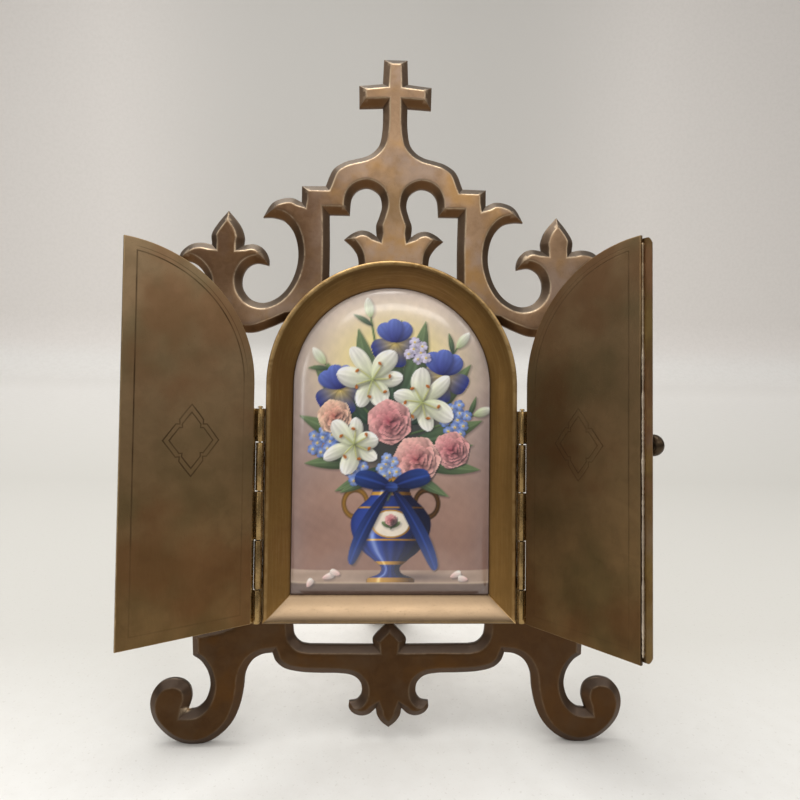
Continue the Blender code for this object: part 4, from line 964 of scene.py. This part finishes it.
tile_x, tile_z = tile_grid()
tile_y = TILE_FRONT - dome(tile_x, tile_z)
front_count = tile_x.size
tile_points = as_points(tile_x, tile_y, tile_z)
enamel = bouquet(Painting(tile_x.ravel(), tile_z.ravel() - FOOT - MOULDING_WIDTH))
numbers = np.arange(front_count).reshape(tile_x.shape)
border = np.concatenate([numbers[0], numbers[1:, -1], numbers[-1, -2::-1], numbers[-2:0, 0]])
behind = tile_points[border].copy()
behind[:, 1] = TILE_BACK
tile_points = np.vstack([tile_points, behind])
back = front_count + np.arange(len(border))
rim = np.stack([border, np.roll(border, -1), np.roll(back, -1), back], axis=1)
tile_faces = grid_faces(*tile_x.shape).tolist() + rim.tolist() + [back.tolist()]

porcelain, glaze, porcelain_shader = new_finish("painted_porcelain")
picture = glaze.node("Attribute", {"attribute_name": "picture"}, output=0)
set_sockets(porcelain_shader, {"Base Color": picture, "Roughness": 0.22, "Coat Weight": 0.9,
                               "Coat Roughness": 0.12})
painted = np.tile(screen(232, 228, 220), (len(tile_points), 1))
painted[:front_count] = screen(*enamel.T)
tile = solid("painted_tile", stood(tile_points), tile_faces, porcelain, crease=50.0,
             values={"picture": painted})
fitted(tile, "frame", "glazed_porcelain", "porcelain_plaque")


# The back cover: a thin brass sheet cut to the arch, which holds the tile in from behind. Six small
# round-headed rivets round its edge go into the plate.

COVER_INSET, COVER_FRONT, COVER_BACK = 4.0, 1.9, 2.7


def cut_sheet(loop, low, high, soft, spacing):
    """A flat sheet with softened edges, cut to a closed (x, z) loop, from depth low to depth high. The edge
    is carried round the loop, and triangles fill both faces. Gives points and faces."""
    inset = soft * np.array([1, 0.3, 0, 0, 0.3, 1])[:, None, None]
    depth = np.array([low, low + 0.3 * soft, low + soft, high - soft, high - 0.3 * soft, high])[:, None]
    sheet = Sheet(1)
    lows, highs = sheet.carry(loop + inward_steps(loop)[0] * inset, depth)
    sheet.fill([lows], low, spacing, 0.5 * spacing)
    sheet.fill([highs], high, spacing, 0.5 * spacing)
    return sheet.points, sheet.faces


def turned(section, steps=28, closed=False):
    """A turned piece about Z from its (radius, height) section, which is closed or ends on the axis."""
    radius, height = np.array(section, float).T
    angle = np.linspace(0, 2 * math.pi, steps, endpoint=False)[:, None]
    faces = grid_faces(steps, len(radius), row_closed=True, column_closed=closed)
    return as_points(radius * np.cos(angle), radius * np.sin(angle), height), faces


def joined(*parts):
    """Several (points, faces) pairs as one."""
    points = np.vstack([part[0] for part in parts])
    faces, first = [], 0
    for part_points, part_faces in parts:
        faces += [[first + corner for corner in face] for face in part_faces]
        first += len(part_points)
    return points, faces


sheet_brass = brass("sheet_brass", (104, 84, 54), (146, 120, 80), (214, 184, 132), cloud=30.0, rough=0.38,
                    blend=0.7, patches=[((120, 104, 66), 22.0, 0.5), ((132, 92, 66), 26.0, 0.4)],
                    grain=(1500.0, 1500.0, 70.0), grain_depth=0.06)
cover_points, cover_faces = cut_sheet(arched_outline(COVER_INSET, 1.2), COVER_FRONT, COVER_BACK, 0.12, 5.0)
cover = solid("back_cover_sheet", stood(cover_points), cover_faces, sheet_brass)
fitted(cover, "frame", "door_brass", "back_cover")

RIVET_STEPS = 24
RIVETS = [(side * x, z) for x, z in ((42.5, 57.5), (42.5, 112.0), (30.0, 174.5)) for side in (-1, 1)]
RIVET_SECTION = [(0, 0.72), (0.5, 0.69), (0.95, 0.58), (1.3, 0.38), (1.48, 0.14), (1.5, 0.0), (1.3, -0.3),
                 (0, -0.3)]
rivet_brass = brass("rivet_brass", (96, 76, 46), (164, 134, 86), (232, 204, 150), cloud=300.0, rough=0.32)
rivet, rivet_faces = turned(RIVET_SECTION, RIVET_STEPS)
points, faces = joined(*[(rivet[:, [0, 2, 1]] + (x, COVER_BACK, z), rivet_faces) for x, z in RIVETS])
fitted(solid("cover_rivets", stood(points), faces, rivet_brass, crease=60.0), "frame", "hinge_brass")


# The doors: two half-arch leaves of sheet brass. The face that looks at the picture when they are shut has
# a line engraved round its border and a pointed four-lobed lozenge, drawn double, in its middle.

AXIS_X, AXIS_Y = 51.6, -9.48
OPENED = {-1: math.radians(-144.5), 1: math.radians(125.6)}     # how far the doors are turned from shut
LEAF_RADIUS, LEAF_FOOT, LEAF_MEETING = 48.6, 51.4, 0.4
LEAF_INNER, LEAF_OUTER = -8.5, -10.0
# The engraved lines: how far in or what share of the whole size, then width, depth and how dark.
BORDER_LINES = [(2.8, 0.20, 0.03, 0.55), (4.3, 0.42, 0.08, 1.0)]
# The leaf's edge from either face round to its middle: how far in, how deep, and its wear and painted
# highlight.
LEAF_EDGE = np.array([(0.50, 0.0, 0.0), (0.26, 0.0, 0.1), (0.08, 0.08, 0.8), (0.0, 0.26, 0.5)])
LOZENGE_CENTRE = (24.6, 122.2)
LOZENGE_LINES = [(1.0, 0.42, 0.06, 1.0), (0.78, 0.42, 0.06, 1.0)]
LOZENGE_QUARTER = [(0, 13.0), (2.2, 10.3), (4.3, 7.5)], [(4.2, 5.9)], [(5.6, 5.9)], [(7.9, 2.9), (10.1, 0)]
GROOVE_LIP = 0.14                               # beside a groove, where the flat begins again
LEAF_SPACING, LEAF_MARGIN = 2.6, 0.4            # of the loose points in its flats
LEAF_WAVES = [(0.05, 26.0), (0.015, 11.0)]      # how far the sheet is out of true, and over what size
SOLDER_REACH = 0.12                             # from the meeting edge, where the leaf is dull with solder


def swung(points, side):
    """Points of a closed door, turned about its hinge to where it stands open, in the world."""
    x, y, z = np.moveaxis(np.asarray(points, float), -1, 0)
    u, v = x - side * AXIS_X, y - AXIS_Y
    c, s = math.cos(OPENED[side]), math.sin(OPENED[side])
    return stood(np.stack([side * AXIS_X + u * c - v * s, AXIS_Y + u * s + v * c, z], axis=-1))


def leaf_outline(inset):
    """The half arch of the right-hand leaf, counter-clockwise from its free lower corner."""
    radius, foot, meeting = LEAF_RADIUS - inset, LEAF_FOOT + inset, LEAF_MEETING + inset
    top = math.acos(meeting / radius)
    angles = np.linspace(0, top, 70)[:-1]
    share = np.linspace(0, 1, 60)[:-1, None]
    corner, crown = np.array([meeting, foot]), np.array([meeting, SPRING + radius * math.sin(top)])
    return np.vstack([
        corner + (np.array([radius, foot]) - corner) * share,
        np.array([radius, foot]) + np.array([0, SPRING - foot]) * share,
        np.stack([radius * np.cos(angles), SPRING + radius * np.sin(angles)], axis=1),
        crown + (corner - crown) * share])


def lozenge(size):
    """The lozenge's line at a share of its full size, counter-clockwise, from one quarter of it."""
    quarter = outline_through(*LOZENGE_QUARTER) * size
    right = np.vstack([quarter, quarter[:-1][::-1] * (1, -1)])
    whole = np.vstack([right, right[1:-1][::-1] * (-1, 1)])
    return whole[::-1] + np.array(LOZENGE_CENTRE)


def engraved_leaf(side):
    """The sheet's edge is carried round the outline. On the inner face each engraved line is a shallow
    groove of five rings, flat, lip, bottom, lip and flat, and triangles fill the flats between them. Its
    bottom is marked as dirty. The outer border line is cut along the arch only."""
    sheet, outline = Sheet(2), leaf_outline(0)
    inset, drop, worn = np.vstack([LEAF_EDGE, LEAF_EDGE[::-1]]).T[..., None]
    depth = np.vstack([LEAF_INNER - drop[:4], LEAF_OUTER + drop[4:]])
    rings = outline + inward_steps(outline)[0] * inset[..., None]
    inner, outer = sheet.carry(rings, depth, np.stack([worn, 0 * worn], axis=-1))
    inner_rings = [inner]
    grooves = [(leaf_outline(inset), *groove) for inset, *groove in BORDER_LINES]
    grooves += [(lozenge(size), *groove) for size, *groove in LOZENGE_LINES]
    bottom, stain = np.array([(0, 0), (0, 0.6), (1, 1), (0, 0.6), (0, 0)]).T[..., None]
    for number, (line, width, depth, dark) in enumerate(grooves):
        half = width / 2
        moves = np.array([-half - GROOVE_LIP, -half, 0, half, half + GROOVE_LIP])[:, None, None]
        cut = 0.8 + 0.3 * ripple(line, 6.0)
        if number == 0:
            cut = ramp(line[:, 1], SPRING, 12) * np.clip(line[:, 0] / 3 - 1.2, 0, 1)
        if number == 1:
            cut = cut * np.clip(0.45 + (48 - line[:, 0]) / 10 + (line[:, 1] - 150) / 15, 0.3, 1)
        dirty = dark * cut * stain
        inner_rings += sheet.carry(line + inward_steps(line)[0] * moves, LEAF_INNER - depth * cut * bottom,
                                   np.stack([0 * dirty, dirty], axis=-1))
    sheet.fill(inner_rings, LEAF_INNER, LEAF_SPACING, LEAF_MARGIN)
    sheet.fill([outer], LEAF_OUTER, LEAF_SPACING, LEAF_MARGIN)
    flat, (worn, dirty) = sheet.points[:, [0, 2]], sheet.marks.T
    at_strip = (flat[:, 0] < LEAF_MEETING + SOLDER_REACH) * (side > 0)
    soldered = at_strip * np.clip((175 - flat[:, 1]) / 30, 0.25, 1)
    bowed = sheet.points[:, 1] + sum(depth * ripple(flat, size) for depth, size in LEAF_WAVES)
    points = as_points(side * flat[:, 0], bowed, flat[:, 1])
    marks = {"rubbed": worn * (1 - soldered), "dirty": dirty, "soldered": soldered}
    return swung(points, side), sheet.faces, marks


brushed = {"cloud": 34.0, "rough": 0.38, "grain": (1400.0, 1400.0, 45.0), "grain_depth": 0.012}
# low paints shade on both leaves, darker towards their foot.
leaf_brass = {
    -1: brass("left_door_brass", (125, 105, 79), (167, 142, 109), (204, 174, 124), **brushed,
              patches=[((106, 98, 68), 22.0, 0.55), ((140, 98, 66), 24.0, 0.5)],
              tints=[("dirty", (56, 39, 23), 0.9)], low=((0.05, 0.23), (0.47, 0.39, 0.27))),
    1: brass("right_door_brass", (119, 99, 72), (161, 134, 100), (190, 160, 112), **brushed,
             patches=[((94, 88, 58), 22.0, 0.5), ((120, 78, 48), 24.0, 0.5)],
             tints=[("dirty", (48, 33, 20), 0.5), ("soldered", (62, 48, 32), 0.9)],
             low=((0.05, 0.23), (0.42, 0.37, 0.26)), shift=(0.31, 0.12, 0.4))}
for side, label in ((-1, "left"), (1, "right")):
    leaf_points, leaf_faces, leaf_marks = engraved_leaf(side)
    leaf = solid(f"{label}_door_leaf", leaf_points, leaf_faces, leaf_brass[side], values=leaf_marks)
    fitted(leaf, f"{label}_leaf", "door_brass", f"{label}_door")


# The hinges: on each side five knuckles round one pin. Three belong to a strip on the door's outer face
# and two to a strip on the moulding's side, all rolled from thin brass and bright where they rub.

BARREL_RADIUS, BORE_RADIUS, PIN_RADIUS = 1.5, 0.85, 0.5
STRIP_THICKNESS = 0.6
DOOR_STRIP, FRAME_STRIP = (1.32, 7.0), (2.1, 6.1)       # from the pin's axis to the strip's two edges
DOOR_STRIP_FRONT, FRAME_STRIP_FRONT = -1.42, 0.7        # from the pin's axis to the strip's face
KNUCKLES = [(51.0, 63.9), (64.3, 82.9), (83.3, 101.9), (102.3, 120.9), (121.3, 134.2)]


def knuckle(bottom, top, soft=0.14):
    """A knuckle about the Z axis: a tube with softened ends."""
    outer, third = BARREL_RADIUS, 0.3 * soft
    return turned([(outer - soft, bottom), (outer - third, bottom + third), (outer, bottom + soft),
                   (outer, top - soft), (outer - third, top - third), (outer - soft, top),
                   (BORE_RADIUS, top), (BORE_RADIUS, bottom)], closed=True)


def comb(spans, near, far, low):
    """A hinge leaf's sheet about the axis: a strip that runs the barrel's length, with a tooth in to the
    axis at each knuckle. It lies in the X and Z plane, near and far from the axis, from depth low on."""
    bottom, top = KNUCKLES[0][0], KNUCKLES[-1][1]
    inner = 0.5 * (BARREL_RADIUS + BORE_RADIUS)
    corners = [(far, bottom), (far, top), (near, top)]
    for span_low, span_high in reversed(spans):
        corners += [(near, span_high), (inner, span_high), (inner, span_low), (near, span_low)]
    corners.append((near, bottom))
    corners = [here for here, there in zip(corners, corners[1:] + corners[:1]) if here != there]
    sides = zip(corners, corners[1:] + corners[:1])
    loop = np.vstack([curve_through(ends, 1.5)[:-1] for ends in sides])
    return cut_sheet(loop, low, low + STRIP_THICKNESS, 0.1, 3.0)


hinge_brass = brass("hinge_brass", (86, 66, 40), (158, 130, 84), (244, 220, 170), cloud=150.0, rough=0.26,
                    grain=(800.0, 800.0, 120.0), grain_depth=0.05)
bottom, top = KNUCKLES[0][0], KNUCKLES[-1][1]
PIN_SECTION = [(0, top + 1.0), (0.45, top + 0.95), (0.8, top + 0.82), (1.02, top + 0.62), (1.1, top + 0.4),
               (1.06, top + 0.3), (PIN_RADIUS, top + 0.3), (PIN_RADIUS, bottom + 0.1), (0.4, bottom),
               (0, bottom)]
for side, label in ((-1, "left"), (1, "right")):
    axis = side * AXIS_X, AXIS_Y, 0
    strip, strip_faces = comb(KNUCKLES[0::2], *DOOR_STRIP, DOOR_STRIP_FRONT)
    strip = strip * (-side, 1, 1)
    points, faces = joined(*[knuckle(*ends) for ends in KNUCKLES[0::2]], (strip, strip_faces))
    on_door = solid(f"{label}_hinge_on_door", swung(points + axis, side), faces, hinge_brass)
    fitted(on_door, f"{label}_leaf", "hinge_brass", f"{label}_door_hinge_leaf")
    strip, strip_faces = comb(KNUCKLES[1::2], *FRAME_STRIP, FRAME_STRIP_FRONT)
    strip = strip[:, [1, 0, 2]] * (-side, 1, 1)
    points, faces = joined(*[knuckle(*ends) for ends in KNUCKLES[1::2]], (strip, strip_faces))
    on_frame = solid(f"{label}_hinge_on_frame", stood(points + axis), faces, hinge_brass)
    fitted(on_frame, "frame", "hinge_brass", f"{label}_frame_hinge_leaf")
    points, faces = turned(PIN_SECTION)
    pin = solid(f"{label}_pin", stood(points + axis), faces, hinge_brass)
    fitted(pin, "frame", "hinge_brass", f"{label}_hinge_pin")


# The meeting strip and the knob: a half-round brass strip, soldered down the right door's free edge on its
# outer face, so that it laps over the other door, and a small turned knob screwed through its crown.

STRIP_HALF_WIDTH, STRIP_RISE = 2.7, 2.0
STRIP_BACK = LEAF_OUTER - 0.3
STRIP_LOW, STRIP_HIGH = 52.2, 191.8
BEAD_RADIUS, BEAD_DEPTH = 0.38, 1.75            # the second is how many times as deep as wide it is
BEAD_X, BEAD_Y = LEAF_MEETING - 0.12, STRIP_BACK + 0.46
BEAD_DULLS, BEAD_FADE = 148.0, 26.0             # from this height on, and over this one, it turns dull
KNOB_HEIGHT, KNOB_STEPS, KNOB_SINK = LEAF_FOOT + 71.5, 40, 0.3
STRIP_ROWS = 40                                 # of its straight part


def rod(x, y, z):
    """A rod from grids of places, with a ring in each row, closed at both ends."""
    numbers = np.arange(x.size).reshape(x.shape)
    faces = grid_faces(*x.shape, column_closed=True).tolist() + numbers[[0, -1]].tolist()
    return as_points(x, y, z), faces


def half_round_strip():
    """A half-round section carried up the meeting line. Towards both ends the section shrinks as the square
    root of the way in, which rounds them."""
    turn = np.linspace(0, math.pi, 19)
    rise = np.array([0, 0.12, 0.35, 0.75, 1.3, 2.0])
    scale = 0.45 + 0.55 * np.sqrt(rise / 2.0)
    scale = np.concatenate([scale, np.ones(STRIP_ROWS), scale[::-1]])[:, None]
    z = np.concatenate([STRIP_LOW + rise, np.linspace(STRIP_LOW + 4, STRIP_HIGH - 4, STRIP_ROWS),
                        (STRIP_HIGH - rise)[::-1]])[:, None]
    return rod(STRIP_HALF_WIDTH * np.cos(turn) * scale, STRIP_BACK - STRIP_RISE * np.sin(turn) * scale, z)


def solder_bead():
    """A thin bead in the corner between the leaf's edge and the strip's back. Its radius and its place
    waver along its length, and towards its top it is thin and has gone dull."""
    height = np.linspace(STRIP_LOW + 1.5, STRIP_HIGH - 1.5, 280)
    angle = np.linspace(0, 2 * math.pi, 10, endpoint=False)
    coarse, fine = (mottle(height, 0 * height, *wave) for wave in ((9.0, 21), (2.2, 22)))
    dull = ramp(height, BEAD_DULLS, BEAD_FADE)
    radius = ((BEAD_RADIUS + 0.10 * coarse + 0.05 * fine) * (1 - 0.2 * dull))[:, None]
    radius[[0, -1]] *= 0.3
    points, faces = rod(BEAD_X + radius * np.cos(angle), BEAD_Y + radius * np.sin(angle) * BEAD_DEPTH,
                        height[:, None])
    return points, faces, {"dull": np.repeat(dull, len(angle))}


# low paints shade on the strip, darker towards its foot.
strip_brass = brass("meeting_strip_brass", (88, 66, 42), (134, 106, 68), (214, 178, 124), cloud=60.0,
                    patches=[((148, 104, 80), 40.0, 0.5), ((152, 136, 116), 34.0, 0.6),
                             ((146, 122, 72), 46.0, 0.6)],
                    low=((0.05, 0.17), (0.56, 0.51, 0.43)), rough=0.36, grain=(900.0, 900.0, 60.0),
                    grain_depth=0.06)
points, faces = half_round_strip()
meeting_strip = solid("meeting_strip", swung(points, 1), faces, strip_brass)
fitted(meeting_strip, "right_leaf", "door_brass", "door_astragal")

solder = brass("old_solder", (136, 120, 100), (208, 194, 174), (226, 220, 204), cloud=110.0, rough=0.45,
               tints=[("dull", (160, 142, 116), 1.0)])
points, faces, marks = solder_bead()
bead = solid("solder_bead", swung(points, 1), faces, solder, crease=70.0, values=marks)
fitted(bead, "right_leaf", "door_brass")

KNOB_SECTION = [(0, 5.6), (1.3, 5.52), (2.35, 5.2), (3.15, 4.55), (3.62, 3.65), (3.7, 2.8), (3.45, 1.95),
                (2.9, 1.35), (2.1, 1.05), (1.7, 0.95), (1.6, 0.75), (1.75, 0.5), (2.2, 0.4), (2.3, 0.28),
                (2.3, 0.0), (0, 0)]
points, faces = turned(KNOB_SECTION, KNOB_STEPS)
points = points[:, [0, 2, 1]] * (1, -1, 1) + (0, STRIP_BACK - STRIP_RISE - KNOB_SINK, KNOB_HEIGHT)
knob_brass = brass("knob_brass", (36, 29, 22), (76, 62, 46), (150, 134, 104), cloud=170.0, rough=0.34)
knob = solid("turned_knob", swung(points, 1), faces, knob_brass)
fitted(knob, "right_leaf", "hinge_brass", "door_knob")


# The strut: a waisted strip of brass, hinged high on the back cover, that holds the frame leaning back. It,
# its bracket and its pin are the plain solids with softened edges.


def worked(node, name, soft, finish):
    """A copy of a plain solid with its flat faces whole again and its edges softened."""
    bm = bmesh.new()
    bm.from_mesh(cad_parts[node].data)
    bmesh.ops.remove_doubles(bm, verts=bm.verts, dist=1e-6)
    bmesh.ops.dissolve_limit(bm, angle_limit=math.radians(1.0), verts=bm.verts, edges=bm.edges)
    bmesh.ops.recalc_face_normals(bm, faces=bm.faces)
    mesh = bpy.data.meshes.new(name)
    bm.to_mesh(mesh)
    bm.free()
    mesh.materials.append(finish)
    made = shown(name, mesh)
    bevel = made.modifiers.new("softened", "BEVEL")
    bevel.width, bevel.segments, bevel.harden_normals = soft / 1000, 2, True
    bevel.limit_method, bevel.angle_limit = "ANGLE", math.radians(35)
    return made


for node, name, body, soft, finish, slot in (
        ("easel_strut", "waisted_strut", "strut", 0.18, sheet_brass, "door_brass"),
        ("strut_hinge_plate", "strut_bracket", "frame", 0.12, hinge_brass, "hinge_brass"),
        ("strut_hinge_pin", "strut_pin", "frame", 0.1, hinge_brass, "hinge_brass")):
    fitted(worked(node, name, soft, finish), body, slot, node)
